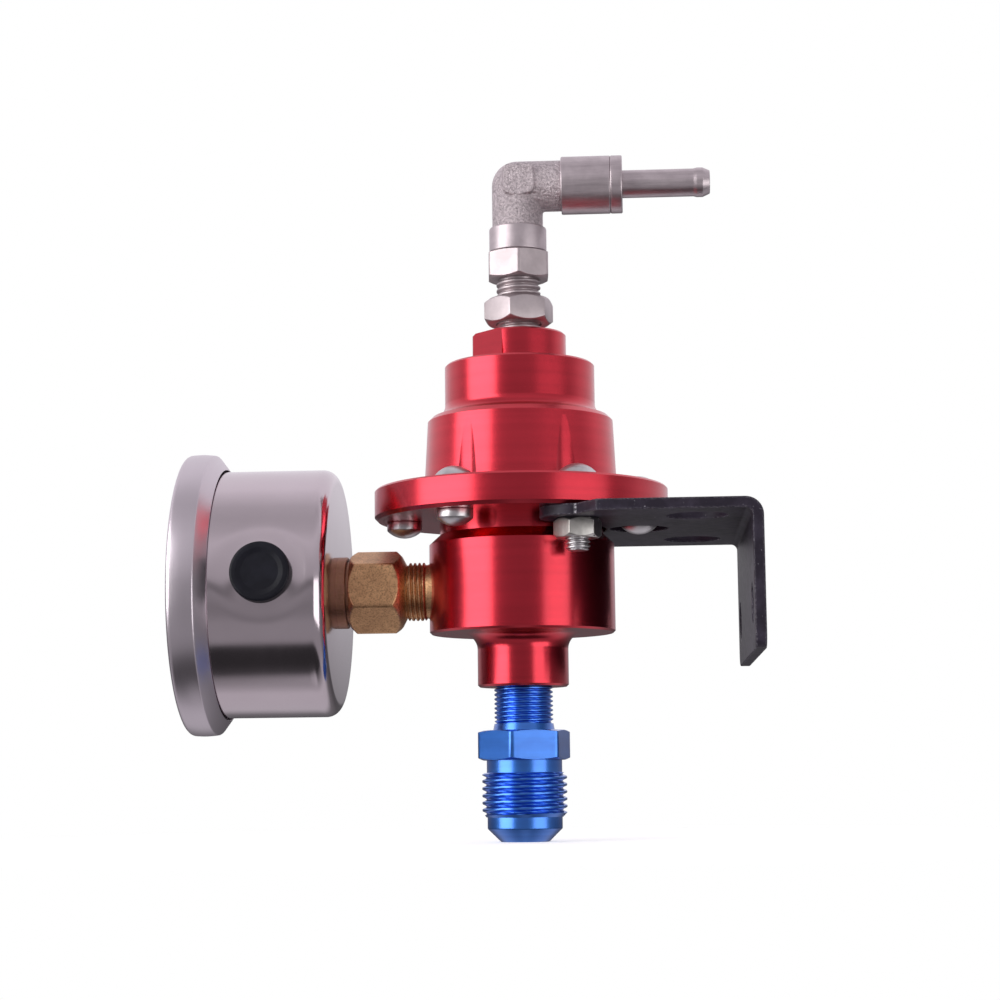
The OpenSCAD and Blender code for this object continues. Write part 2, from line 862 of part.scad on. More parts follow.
// The flat pads that the forging has on both sides of its corner
module elbow_pads() {
    inner_w = pad_w - 2 * pad_corner;
    translate([pad_shift, 0, arm_z + pad_shift])
        rotate([90, 0, 0])
            linear_extrude(elbow_leg_d + 2 * pad_proud, center = true) {
                square([pad_w, inner_w], center = true);
                square([inner_w, pad_w], center = true);
                for (x = [-inner_w / 2, inner_w / 2], y = [-inner_w / 2, inner_w / 2])
                    translate([x, y])
                        circle(pad_corner);
            }
}

module swivel_elbow() {
    clip_z = spigot_z + clip_drop;
    color(nickel)
        difference() {
            union() {
                turned()
                    bar_section(elbow_collar_d / 2, elbow_z, elbow_leg_z, edge_break);
                translate([0, 0, elbow_leg_z - edge_break])
                    cylinder(r = elbow_leg_r, h = elbow_rise + edge_break);
                translate([0, 0, arm_z])
                    sphere(elbow_leg_r);
                along_x(arm_z)
                    cylinder(r = elbow_leg_r, h = barrel_start + edge_break);
                along_x(arm_z)
                    turned()
                        bar_section(barrel_d / 2, barrel_start, barrel_end, edge_break);
                elbow_pads();
            }
            turned() {
                ring_section(0, spigot_r + run, elbow_z - past, spigot_room);
                ring_section(0, clip_out_r + run, clip_z - run, clip_z + clip_room + run);
                ring_section(0, vacuum_r, elbow_z, arm_z);
            }
            translate([0, 0, arm_z])
                sphere(vacuum_r);
            along_x(arm_z) {
                cylinder(r = vacuum_r, h = barrel_end + past);
                translate([0, 0, barrel_end - insert_len])
                    cylinder(r = insert_r, h = insert_len + past);
            }
        }
}

module swivel_o_ring() {
    o_ring_r = (spigot_r + run - o_ring_floor_r) / 2 - slip;
    color(rubber)
        translate([0, 0, spigot_z + o_ring_drop + o_ring_room / 2])
            rotate_extrude()
                translate([o_ring_floor_r + slip + o_ring_r, 0])
                    circle(o_ring_r);
}

module swivel_clip() {
    color(steel)
        translate([0, 0, spigot_z + clip_drop + (clip_room - clip_t) / 2])
            difference() {
                cylinder(r = clip_out_r, h = clip_t);
                translate([0, 0, -past])
                    cylinder(r = clip_floor_r + slip, h = clip_t + 2 * past);
                translate([0, -clip_floor_r / 2, -past])
                    cube([clip_out_r + past, clip_floor_r, clip_t + 2 * past]);
            }
}

module hose_nipple() {
    nipple_r = nipple_d / 2;
    bead_z = nipple_end - bead_back;
    color(nickel)
        along_x(arm_z)
            turned()
                difference() {
                    union() {
                        bar_section(insert_r - slip, barrel_end - insert_len + edge_break,
                            barrel_end + edge_break, edge_break);
                        bar_section(barrel_d / 2, barrel_end, nipple_start, edge_break);
                        bar_section(nipple_r, barrel_end, nipple_end, edge_break);
                        polygon([
                            [0, bead_z - bead_rise], [nipple_r, bead_z - bead_rise], [bead_r, bead_z],
                            [bead_r, bead_z + bead_w], [nipple_r - edge_break, nipple_end], [0, nipple_end]
                        ]);
                    }
                    ring_section(0, nipple_bore_d / 2, 0, nipple_end + past);
                }
}

// Gauge: its own frame has Z out of the dial and Y to the top of the dial, from the back of the case
module gauge_frame() {
    translate([-gauge_back, 0, port_z])
        rotate([0, -90, 0])
            rotate([0, 0, 180 + gauge_clock])
                children();
}

bezel_r = bezel_d / 2;
case_r = bezel_r - bezel_step;
case_in_r = case_r - case_t;
case_corner = 2.4;
rim_z = case_len + bezel_cone_len;
gauge_front = rim_z + bezel_band_len;
bezel_t = 0.7;
bezel_gap = 0.3;
bezel_round = 1;
bezel_lap = 0.15;
bezel_foot_h = 0.8;
lip_w = 0.75;
lip_out_r = case_r + lip_w;
window_t = 2;
window_gap = 0.3;
window_top = gauge_front - bezel_t;
window_z = window_top - window_t;
window_r = bezel_r - bezel_t - window_gap;
sight_r = case_in_r;

// Brass socket with the block inside the case
socket_gap = 2.05;
socket_collar_r = 6.1;
socket_relief_r = 5.3;
socket_relief_len = 0.5;
socket_taper_len = 0.9;
seal_t = 1;
seal_r = 7;
spigot_hole_r = 4.6;
block_half = [9.5, 4];
block_h = 4.3;
block_z = case_t + seal_t;
block_top = block_z + block_h;
arm_half_w = 3;
arm_reach = 17.5;
foot_depth = 4;
tube_r = 15.5;
tube_w = 1.6;
tube_h = 5;
tube_lift = 0.5;
tube_z = block_top + tube_lift;
foot_cover = 0.2;
foot_top = tube_z + tube_h + foot_cover;
socket_bore_d = 3;
pipe_lead = 0.4;
pipe_neck_step = 0.5;
socket_cone_len = 1.2;

module gauge_socket() {
    hex_z = -socket_gap - socket_hex_len;
    neck_low = hex_z - socket_neck_len;
    socket_end = -gauge_reach - pipe_engaged;
    color(brass)
        gauge_frame()
            difference() {
                union() {
                    turned() {
                        ring_section(0, port_r - slip, socket_end, neck_low);
                        ring_section(0, pipe_thread_d / 2, pipe_lead - gauge_reach, neck_low);
                        ring_section(0, pipe_thread_d / 2 - pipe_neck_step, neck_low - past, hex_z + past);
                        polygon([
                            [0, hex_z + past], [socket_collar_r, hex_z + past], [socket_collar_r, hex_z],
                            [pipe_thread_d / 2 - pipe_neck_step, hex_z - socket_taper_len],
                            [0, hex_z - socket_taper_len]
                        ]);
                        ring_section(0, socket_relief_r, -socket_gap - past, 0);
                        ring_section(0, socket_collar_r, socket_relief_len - socket_gap, 0);
                        ring_section(0, spigot_hole_r - slip, -past, block_z + past);
                    }
                    translate([0, 0, hex_z])
                        rotate([0, 0, socket_hex_turn])
                            hexagon(socket_hex_af, socket_hex_len, socket_cone_len, socket_cone_len);
                    translate([-block_half[0], -block_half[1], block_z])
                        cube([2 * block_half[0], 2 * block_half[1], block_h]);
                    translate([-arm_half_w, -arm_reach, block_z])
                        cube([2 * arm_half_w, arm_reach, block_h]);
                    translate([-arm_half_w, -arm_reach, block_z])
                        cube([2 * arm_half_w, foot_depth, foot_top - block_z]);
                }
                translate([0, 0, socket_end - past])
                    cylinder(d = socket_bore_d, h = block_z + block_h / 2 - socket_end + past);
            }
}

module stem_seal() {
    color(rubber)
        gauge_frame()
            turned()
                ring_section(spigot_hole_r + slip, seal_r, case_t, block_z);
}

plug_rim = 1.2;
plug_stem_r = plug_d / 2 - plug_rim;
plug_flange_t = 1;
plug_hold = 0.6;
plug_in_r = plug_stem_r + plug_hold;

module gauge_case() {
    color(steel)
        gauge_frame()
            difference() {
                turned() {
                    difference() {
                        union() {
                            ring_section(0, case_r - case_corner, 0, rim_z);
                            ring_section(0, case_r, case_corner, rim_z);
                            translate([case_r - case_corner, case_corner])
                                circle(case_corner);
                        }
                        ring_section(0, case_in_r - case_corner, case_t, rim_z + past);
                        ring_section(0, case_in_r, case_t + case_corner, rim_z + past);
                        translate([case_in_r - case_corner, case_t + case_corner])
                            circle(case_corner);
                    }
                    ring_section(case_in_r, lip_out_r, rim_z - case_t, rim_z);
                }
                translate([0, 0, -past])
                    cylinder(r = spigot_hole_r, h = case_t + 2 * past);
                translate([0, 0, plug_from_back])
                    rotate([-90, 0, 0])
                        cylinder(r = plug_stem_r + slip, h = case_r + past);
            }
}

module gauge_bezel() {
    band_in_r = bezel_r - bezel_t;
    foot_r = case_r + bezel_gap;
    color(steel)
        gauge_frame()
            turned()
                difference() {
                    union() {
                        polygon([
                            [foot_r, case_len], [bezel_r, rim_z], [bezel_r, gauge_front - bezel_round],
                            [bezel_r - bezel_round, gauge_front], [sight_r, gauge_front], [sight_r, window_top],
                            [band_in_r, window_top], [band_in_r, rim_z + bezel_lap],
                            [foot_r, case_len + bezel_foot_h]
                        ]);
                        translate([bezel_r - bezel_round, gauge_front - bezel_round])
                            circle(bezel_round);
                    }
                    ring_section(0, band_in_r, rim_z + bezel_lap, window_top);
                }
}

gasket_from = 0.75;
gasket_foot = [0.2, 0.1];
gasket_ease = 1;

module window_gasket() {
    foot_r = case_r + slip;
    wedge = rim_z - case_t - case_len - gasket_ease;
    foot_z = case_len + gasket_from;
    color(rubber)
        gauge_frame()
            turned() {
                ring_section(sight_r, window_r, rim_z, window_z);
                polygon([
                    [foot_r, foot_z], [foot_r + gasket_foot[0], foot_z + gasket_foot[1]],
                    [foot_r + wedge, rim_z - case_t], [foot_r, rim_z - case_t]
                ]);
            }
}

module gauge_window() {
    color([0.85, 0.92, 0.95, 0.35])
        gauge_frame()
            turned()
                ring_section(0, window_r, window_z, window_top);
}

// The case wall as a full cylinder, seen from the frame of the plug
module case_wall(r) {
    rotate([90, 0, 0])
        cylinder(r = r, h = 4 * plug_d, center = true);
}

module gauge_plug() {
    plug_r = plug_d / 2;
    rim_edge = 0.5;
    saddle = case_r - sqrt(case_r * case_r - plug_r * plug_r);
    flange_low = case_in_r - saddle - plug_flange_t;
    color(rubber)
        gauge_frame()
            translate([0, 0, plug_from_back])
                rotate([-90, 0, 0]) {
                    difference() {
                        translate([0, 0, case_r - saddle - past])
                            turned()
                                bar_section(plug_r, 0, saddle + past + plug_proud, rim_edge);
                        case_wall(case_r + slip);
                    }
                    translate([0, 0, flange_low])
                        cylinder(r = plug_stem_r, h = case_r + plug_proud / 2 - flange_low);
                    intersection() {
                        translate([0, 0, flange_low])
                            cylinder(r = plug_in_r, h = saddle + plug_flange_t);
                        case_wall(case_in_r - slip);
                    }
                }
}

// Movement: plates, pillars, dial and pointer
plate_t = 0.8;
plate_room = 4.2;
rear_plate_z = block_top;
gear_room_z = rear_plate_z + plate_t;
front_plate_z = gear_room_z + plate_room;
front_plate_top = front_plate_z + plate_t;
plate_low = [-7, -12.5];
plate_high = [7, 6.5];
dial_drop = 1.4;
dial_z = case_len - dial_drop;
dial_t = 0.6;
dial_top = dial_z + dial_t;
dial_gap = 0.3;
dial_r = case_in_r - dial_gap;
pillar_r = 1;
dial_post_at = [[-5, 4.5], [5, 4.5]];
low_post_at = [[-6, -11.4]];
post_hole_r = 0.5;
post_hole_len = 2;
dial_screw_d = 2;
dial_screw_head_h = 0.5;
dial_screw_len = 1.6;
arbor_r = 0.6;
arbor_hole_r = arbor_r + run;
pointer_lift = 1;
pointer_z = dial_top + pointer_lift;
pointer_t = 0.4;
blade_half_w = [0.9, 0.15];
tail_half_w = [0.7, 1.1];
hub_r = 1.6;
hub_h = 1.2;
hub_top = pointer_z + hub_h;
hub_bore_len = 1;
pointer_len = 14.5;
pointer_tail = 5;
start_angle = 90 + pointer_sweep / 2;

module movement_plates() {
    color(brass)
        gauge_frame()
            for (z = [rear_plate_z, front_plate_z])
                difference() {
                    translate([plate_low[0], plate_low[1], z])
                        cube([plate_high[0] - plate_low[0], plate_high[1] - plate_low[1], plate_t]);
                    translate([0, 0, z - past])
                        cylinder(r = arbor_hole_r, h = plate_t + 2 * past);
                    translate([sector_at[0], sector_at[1], z - past])
                        cylinder(r = arbor_hole_r, h = plate_t + 2 * past);
                }
}

module movement_pillars() {
    color(brass)
        gauge_frame() {
            for (at = concat(dial_post_at, low_post_at))
                translate([at[0], at[1], gear_room_z])
                    cylinder(r = pillar_r, h = plate_room);
            for (at = dial_post_at)
                translate([at[0], at[1], front_plate_top])
                    difference() {
                        cylinder(r = pillar_r, h = dial_z - front_plate_top);
                        translate([0, 0, dial_z - front_plate_top - post_hole_len])
                            cylinder(r = post_hole_r + slip, h = post_hole_len + past);
                    }
        }
}

module dial() {
    color("white")
        gauge_frame()
            difference() {
                translate([0, 0, dial_z])
                    cylinder(r = dial_r, h = dial_t);
                translate([0, 0, dial_z - past])
                    cylinder(r = hub_r, h = dial_t + 2 * past);
                for (at = dial_post_at)
                    translate([at[0], at[1], dial_z - past])
                        cylinder(r = post_hole_r + slip, h = dial_t + 2 * past);
                rotate([0, 0, stop_angle])
                    translate([stop_r, 0, dial_z - past])
                        cylinder(r = stop_pin_r + slip, h = dial_t + 2 * past);
            }
}

module dial_screws() {
    color(brass)
        gauge_frame()
            for (at = dial_post_at)
                translate([at[0], at[1], dial_top]) {
                    dome(dial_screw_d, dial_screw_head_h);
                    translate([0, 0, -dial_t - dial_screw_len])
                        cylinder(r = post_hole_r, h = dial_t + dial_screw_len);
                }
}

stop_pin_r = 0.35;
stop_r = 8;
stop_lead = 9;
stop_angle = start_angle + stop_lead;

module stop_pin() {
    color(brass)
        gauge_frame()
            rotate([0, 0, stop_angle])
                translate([stop_r, 0, dial_z])
                    cylinder(r = stop_pin_r, h = hub_top - dial_z);
}

module pointer() {
    color("black")
        gauge_frame()
            difference() {
                rotate([0, 0, start_angle])
                    translate([0, 0, pointer_z]) {
                        linear_extrude(pointer_t)
                            polygon([
                                [0, -blade_half_w[0]], [pointer_len, -blade_half_w[1]],
                                [pointer_len, blade_half_w[1]], [0, blade_half_w[0]]
                            ]);
                        linear_extrude(pointer_t)
                            polygon([
                                [0, -tail_half_w[0]], [-pointer_tail, -tail_half_w[1]],
                                [-pointer_tail, tail_half_w[1]], [0, tail_half_w[0]]
                            ]);
                        cylinder(r = hub_r, h = hub_top - pointer_z);
                    }
                translate([0, 0, pointer_z - past])
                    cylinder(r = arbor_r + slip, h = past + hub_bore_len);
            }
}

// Toothed pieces: straight-sided teeth on a pitch circle
gear_module = 0.25;
pinion_teeth = 10;
sector_teeth = 70;
pinion_r = gear_module * pinion_teeth / 2;
sector_r = gear_module * sector_teeth / 2;
mesh_gap = 0.02;
centre_gap = pinion_r + sector_r + mesh_gap;
sector_turn_at = -66.4;
sector_at = [centre_gap * cos(sector_turn_at), centre_gap * sin(sector_turn_at)];
gear_lift = 1.4;
gear_z = gear_room_z + gear_lift;
gear_t = 0.8;
pinion_over = 0.6;
arbor_end_gap = 0.1;
tooth_add = 0.7;
tooth_ded = 1.1;
tooth_foot = 0.3;
tooth_tip = 0.11;

function tooth(teeth, pitch_r, i, phase) =
    let (
        step = 360 / teeth,
        a = phase + i * step,
        add = gear_module * tooth_add,
        ded = gear_module * tooth_ded,
        foot = step * tooth_foot,
        tip = step * tooth_tip
    )
    [
        [(pitch_r - ded) * cos(a - foot), (pitch_r - ded) * sin(a - foot)],
        [(pitch_r + add) * cos(a - tip), (pitch_r + add) * sin(a - tip)],
        [(pitch_r + add) * cos(a + tip), (pitch_r + add) * sin(a + tip)],
        [(pitch_r - ded) * cos(a + foot), (pitch_r - ded) * sin(a + foot)]
    ];

module pinion_shaft() {
    step = 360 / pinion_teeth;
    color(steel)
        gauge_frame() {
            translate([0, 0, rear_plate_z + run])
                cylinder(r = arbor_r, h = pointer_z + hub_bore_len - arbor_end_gap - rear_plate_z - run);
            translate([0, 0, gear_z - pinion_over])
                linear_extrude(gear_t + 2 * pinion_over)
                    polygon([
                        for (i = [0 : pinion_teeth - 1])
                            each tooth(pinion_teeth, pinion_r, i, sector_turn_at + step / 2)
                    ]);
        }
}

sector_first = -8;
sector_last = 1;
tail_r = 3;
tail_angle = -95;
tail_end_r = 0.9;
tail_at = [sector_at[0] + tail_r * cos(tail_angle), sector_at[1] + tail_r * sin(tail_angle)];
hub_sector_r = 1.6;
link_pin_r = 0.4;

module sector_gear() {
    face = sector_turn_at + 180;
    color(brass)
        gauge_frame()
            translate([sector_at[0], sector_at[1], gear_z])
                difference() {
                    linear_extrude(gear_t) {
                        polygon(concat(
                            [[0, 0]],
                            [
                                for (i = [sector_first : sector_last])
                                    each tooth(sector_teeth, sector_r, i, face)
                            ]
                        ));
                        circle(hub_sector_r);
                        rotate(tail_angle)
                            translate([0, -tail_end_r])
                                square([tail_r, 2 * tail_end_r]);
                        rotate(tail_angle)
                            translate([tail_r, 0])
                                circle(tail_end_r);
                    }
                    translate([0, 0, -past])
                        cylinder(r = arbor_r + slip, h = gear_t + 2 * past);
                    rotate([0, 0, tail_angle])
                        translate([tail_r, 0, -past])
                            cylinder(r = link_pin_r + slip, h = gear_t + 2 * past);
                }
}

module sector_shaft() {
    color(steel)
        gauge_frame()
            translate([sector_at[0], sector_at[1], rear_plate_z + run])
                cylinder(r = arbor_r, h = front_plate_top - rear_plate_z - 2 * run);
}

// Pressure tube, its end piece and the link to the sector
tube_start = 262;
tube_end = -35;
tip_len = 3;
ear_lead = 5.5;
tip_turn = tube_end - ear_lead;
tip_wall = 0.7;
ear_at_r = 11.5;
ear_back = 0.8;
ear_inset = 0.6;
ear_w = 1.8;
ear_hole = [ear_at_r * cos(tip_turn), ear_at_r * sin(tip_turn)];
link_end_r = 0.8;
link_t = 0.5;
link_gap = 0.15;
link_pin_lap = 0.05;
link_waist = 0.6;
link_z = gear_z + gear_t + link_gap;

module bourdon_tube() {
    color(brass)
        gauge_frame()
            difference() {
                rotate([0, 0, tube_end])
                    rotate_extrude(angle = tube_start - tube_end)
                        translate([tube_r - tube_w / 2, tube_z])
                            square([tube_w, tube_h]);
                translate([-arm_half_w - slip, -2 * tube_r, tube_z - past])
                    cube([2 * arm_half_w + 2 * slip, 2 * tube_r, tube_h + 2 * past]);
            }
}

module tube_tip() {
    tip_w = tube_w + 2 * tip_wall;
    color(brass)
        gauge_frame()
            rotate([0, 0, tube_end]) {
                translate([tube_r - tip_w / 2, -tip_len, tube_z - foot_cover])
                    cube([tip_w, tip_len, tube_h + 2 * foot_cover]);
                translate([ear_at_r - ear_back, -tip_len + ear_inset, gear_z])
                    cube([tube_r - ear_at_r, ear_w, gear_t]);
            }
}

module link() {
    run_x = ear_hole[0] - tail_at[0];
    run_y = ear_hole[1] - tail_at[1];
    length = sqrt(run_x * run_x + run_y * run_y);
    color(brass)
        gauge_frame()
            translate([tail_at[0], tail_at[1], link_z])
                rotate([0, 0, atan2(run_y, run_x)]) {
                    linear_extrude(link_t) {
                        circle(link_end_r);
                        translate([length, 0])
                            circle(link_end_r);
                        translate([0, -link_waist * link_end_r])
                            square([length, 2 * link_waist * link_end_r]);
                    }
                    translate([0, 0, -gear_t - link_gap])
                        cylinder(r = link_pin_r, h = gear_t + link_gap + link_pin_lap);
                }
}

// Hairspring: a flat spiral of thin strip
hair_in_r = 1.1;
hair_out_r = 4.2;
hair_turns = 3;
hair_t = 0.14;
hair_h = 0.6;
hair_gap = 0.3;
hair_z = front_plate_z - hair_h - hair_gap;
hair_steps = 24;

function spiral_point(i, offset) =
    let (
        a = 360 * i / hair_steps,
        r = hair_in_r + (hair_out_r - hair_in_r) * i / (hair_turns * hair_steps) + offset
    )
    [r * cos(a), r * sin(a)];

module hairspring() {
    last = hair_turns * hair_steps;
    color(steel)
        gauge_frame()
            translate([0, 0, hair_z])
                linear_extrude(hair_h)
                    polygon(concat(
                        [for (i = [0 : last]) spiral_point(i, 0)],
                        [for (i = [last : -1 : 0]) spiral_point(i, hair_t)]
                    ));
}

lower_body();
bonnet();
flange_rivets();
bracket_screws();
bracket_nuts();
bracket();
outlet_fitting();
seat_nozzle();
valve_plate();
diaphragm();
spring_cup();
diaphragm_rivet();
main_spring();
spring_seat();
adjuster_stud();
jam_nut();
swivel_elbow();
swivel_o_ring();
swivel_clip();
hose_nipple();
gauge_socket();
stem_seal();
gauge_case();
gauge_bezel();
window_gasket();
gauge_window();
gauge_plug();
dial();
dial_screws();
stop_pin();
pointer();
pinion_shaft();
sector_gear();
sector_shaft();
movement_plates();
movement_pillars();
bourdon_tube();
tube_tip();
link();
hairspring();
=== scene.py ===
"""Looks of the fuel pressure regulator: materials, threads, dial print, studio light and camera."""
import json
import math

import bmesh
import bpy
from mathutils import Matrix, Vector


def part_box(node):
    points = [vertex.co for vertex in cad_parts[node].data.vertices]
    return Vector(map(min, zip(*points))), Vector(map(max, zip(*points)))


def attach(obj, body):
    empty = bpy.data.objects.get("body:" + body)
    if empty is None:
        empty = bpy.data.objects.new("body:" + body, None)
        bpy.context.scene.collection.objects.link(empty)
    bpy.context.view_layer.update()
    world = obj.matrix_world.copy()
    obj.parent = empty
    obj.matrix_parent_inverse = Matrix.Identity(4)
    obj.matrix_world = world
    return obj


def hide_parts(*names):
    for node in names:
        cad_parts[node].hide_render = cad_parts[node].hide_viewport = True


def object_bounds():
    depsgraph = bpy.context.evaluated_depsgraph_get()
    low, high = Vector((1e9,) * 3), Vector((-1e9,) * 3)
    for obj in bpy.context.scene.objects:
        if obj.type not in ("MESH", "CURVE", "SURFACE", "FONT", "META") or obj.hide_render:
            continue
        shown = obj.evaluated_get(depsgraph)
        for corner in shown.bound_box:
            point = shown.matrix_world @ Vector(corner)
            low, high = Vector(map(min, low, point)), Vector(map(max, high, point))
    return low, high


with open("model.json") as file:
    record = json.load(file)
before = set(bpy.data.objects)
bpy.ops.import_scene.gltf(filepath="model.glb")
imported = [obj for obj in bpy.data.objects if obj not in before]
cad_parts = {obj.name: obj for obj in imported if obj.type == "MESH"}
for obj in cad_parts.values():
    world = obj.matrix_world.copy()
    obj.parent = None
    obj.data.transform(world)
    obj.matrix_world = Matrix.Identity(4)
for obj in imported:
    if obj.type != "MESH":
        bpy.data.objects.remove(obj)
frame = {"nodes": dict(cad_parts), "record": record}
CAD_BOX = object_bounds()
MM = 0.001
NODES = frame["nodes"]


# Shader graphs

class Graph:
    """A material under construction, with short calls for the nodes that it needs."""

    def __init__(self, name):
        self.material = bpy.data.materials.new(name)
        self.material.use_nodes = True
        self.tree = self.material.node_tree
        self.shader = self.tree.nodes["Principled BSDF"]

    def node(self, kind, **settings):
        made = self.tree.nodes.new(kind)
        for key, value in settings.items():
            setattr(made, key, value)
        return made

    def put(self, socket, value):
        if isinstance(value, bpy.types.NodeSocket):
            self.tree.links.new(value, socket)
        else:
            socket.default_value = value

    def set(self, **values):
        for key, value in values.items():
            self.put(self.shader.inputs[key.replace("_", " ")], value)

    def math(self, operation, a, b=0.0):
        made = self.node("ShaderNodeMath", operation=operation)
        self.put(made.inputs[0], a)
        self.put(made.inputs[1], b)
        return made.outputs[0]

    def place(self):
        return self.node("ShaderNodeTexCoord").outputs["Object"]

    def parts(self, vector):
        made = self.node("ShaderNodeSeparateXYZ")
        self.put(made.inputs[0], vector)
        return made.outputs

    def vector(self, x, y, z):
        made = self.node("ShaderNodeCombineXYZ")
        for socket, value in zip(made.inputs, (x, y, z)):
            self.put(socket, value)
        return made.outputs[0]

    def noise(self, vector, scale, detail=2.0, roughness=0.5):
        made = self.node("ShaderNodeTexNoise")
        self.put(made.inputs["Vector"], vector)
        made.inputs["Scale"].default_value = scale
        made.inputs["Detail"].default_value = detail
        made.inputs["Roughness"].default_value = roughness
        return made.outputs["Fac"]

    def ramp(self, value, stops):
        """A ramp of grey levels between places from 0 to 1."""
        made = self.node("ShaderNodeValToRGB")
        self.put(made.inputs[0], value)
        elements = made.color_ramp.elements
        while len(elements) < len(stops):
            elements.new(0.5)
        for element, (place, level) in zip(elements, stops):
            element.position = place
            element.color = (level, level, level, 1.0)
        return made.outputs[0]

    def span(self, value, low, high):
        """A value from 0 to 1 stretched to a range of plain numbers."""
        made = self.node("ShaderNodeMapRange")
        self.put(made.inputs["Value"], value)
        made.inputs["To Min"].default_value = low
        made.inputs["To Max"].default_value = high
        return made.outputs[0]

    def mix(self, amount, a, b):
        made = self.node("ShaderNodeMix", data_type="RGBA")
        self.put(made.inputs["Factor"], amount)
        sockets = [socket for socket in made.inputs if socket.type == "RGBA"]
        for socket, value in zip(sockets, (a, b)):
            self.put(socket, value if isinstance(value, bpy.types.NodeSocket) else (*value, 1.0))
        return [socket for socket in made.outputs if socket.type == "RGBA"][0]

    def bump(self, height, strength, distance):
        made = self.node("ShaderNodeBump")
        made.inputs["Strength"].default_value = strength
        made.inputs["Distance"].default_value = distance
        self.put(made.inputs["Height"], height)
        return made.outputs["Normal"]

    def edges(self, width):
        """1 along the edges of a solid and 0 on its faces, over a width in metres."""
        round_off = self.node("ShaderNodeBevel", samples=6)
        round_off.inputs["Radius"].default_value = width
        across = self.node("ShaderNodeVectorMath", operation="DOT_PRODUCT")
        self.put(across.inputs[0], round_off.outputs[0])
        self.put(across.inputs[1], self.node("ShaderNodeNewGeometry").outputs["True Normal"])
        return self.ramp(across.outputs["Value"], [(0.86, 1.0), (0.985, 0.0)])

    def lathe_place(self, axis, centre=(0.0, 0.0, 0.0)):
        """Radius and height about a turning axis, in metres, so that noise becomes tool marks."""
        x, y, z = self.parts(self.place())
        x = self.math("SUBTRACT", x, centre[0])
        y = self.math("SUBTRACT", y, centre[1])
        z = self.math("SUBTRACT", z, centre[2])
        across = {"X": (y, z, x), "Z": (x, y, z)}[axis]
        square = self.math("ADD", self.math("MULTIPLY", across[0], across[0]),
                           self.math("MULTIPLY", across[1], across[1]))
        turn = self.math("ARCTAN2", across[1], across[0])
        return self.vector(self.math("SQRT", square), across[2], self.math("MULTIPLY", turn, 0.00005))


def anodised(name, colour, deep, rough, grain, coat):
    """Dyed anodised aluminium with fine circular tool marks."""
    g = Graph(name)
    marks = g.noise(g.lathe_place("Z"), 9000.0, 3.0, 0.6)
    bands = g.noise(g.lathe_place("Z"), 900.0, 2.0)
    cloud = g.noise(g.place(), 120.0, 3.0)
    tone = g.math("MULTIPLY", g.math("ADD", cloud, bands), 0.5)
    g.set(Base_Color=g.mix(g.ramp(tone, [(0.35, 0.0), (0.65, 1.0)]), deep, colour))
    g.set(Metallic=1.0, Roughness=g.span(marks, *rough), Normal=g.bump(marks, grain, 0.00002))
    g.set(Coat_Weight=coat, Coat_Roughness=0.2, Coat_IOR=1.6)
    return g.material


def plated(name, light, dark, rough, grain=0.08):
    """Turned and plated metal with circular tool marks and faint stains."""
    g = Graph(name)
    marks = g.noise(g.lathe_place("Z"), 7000.0, 3.0, 0.6)
    stain_and_shade = g.noise(g.place(), 260.0, 4.0, 0.6)
    g.set(Base_Color=g.mix(g.ramp(stain_and_shade, [(0.38, 0.0), (0.64, 1.0)]), dark, light))
    g.set(Metallic=1.0, Roughness=g.span(marks, *rough), Normal=g.bump(marks, grain, 0.00002))
    return g.material


def drawn(name, light, dark, rough):
    """Plated metal with streaks that run along X."""
    g = Graph(name)
    x, y, z = g.parts(g.place())
    streaks = g.noise(g.vector(g.math("MULTIPLY", x, 0.05), y, z), 2600.0, 4.0, 0.7)
    stain_and_shade = g.noise(g.place(), 380.0, 4.0, 0.6)
    tone = g.math("MULTIPLY", g.math("ADD", streaks, stain_and_shade), 0.5)
    g.set(Base_Color=g.mix(g.ramp(tone, [(0.4, 0.0), (0.6, 1.0)]), dark, light))
    g.set(Metallic=1.0, Roughness=g.span(streaks, *rough), Normal=g.bump(streaks, 0.3, 0.00004))
    return g.material


def forged(name, light, dark):
    """Plated forging with the fine rough skin of its mould."""
    g = Graph(name)
    sand = g.noise(g.place(), 2300.0, 4.0, 0.65)
    waves = g.noise(g.place(), 520.0, 3.0)
    skin = g.math("ADD", sand, g.math("MULTIPLY", waves, 0.8))
    g.set(Base_Color=g.mix(g.ramp(sand, [(0.38, 0.0), (0.6, 1.0)]), dark, light))
    g.set(Metallic=1.0, Roughness=g.span(sand, 0.34, 0.5), Normal=g.bump(skin, 0.85, 0.00045))
    return g.material


# The painted shade, reddish brown as a painted reflection of the red body, starts this far from the body axis
# towards the gauge, in metres, and fades in at this rate
PAINTED_SHADE_FROM = 0.0289
PAINTED_SHADE_FADE = 3000.0


def brass_bar(name, light, dark, speck, stain_and_shade=None):
    """Dull drawn brass with small dark specks; where a second colour is given, painted shade with a reddish
    painted reflection darkens it towards the gauge.
    """
    g = Graph(name)
    tone = g.noise(g.place(), 330.0, 4.0, 0.6)
    fine = g.noise(g.place(), 3200.0, 4.0, 0.7)
    colour = g.mix(g.ramp(tone, [(0.36, 0.0), (0.66, 1.0)]), dark, light)
    # Painted shade with a reddish painted reflection of the red body: the colour darkens towards the gauge
    if stain_and_shade:
        near = g.math("MULTIPLY", g.math("ADD", g.parts(g.place())["X"], PAINTED_SHADE_FROM), -PAINTED_SHADE_FADE)
        colour = g.mix(g.ramp(near, [(0.0, 0.0), (1.0, 0.8)]), colour, stain_and_shade)
    g.set(Base_Color=g.mix(g.ramp(fine, [(0.34, 0.85), (0.54, 0.0)]), colour, speck))
    g.set(Metallic=1.0, Roughness=g.span(fine, 0.34, 0.5), Normal=g.bump(fine, 0.22, 0.00005))
    return g.material


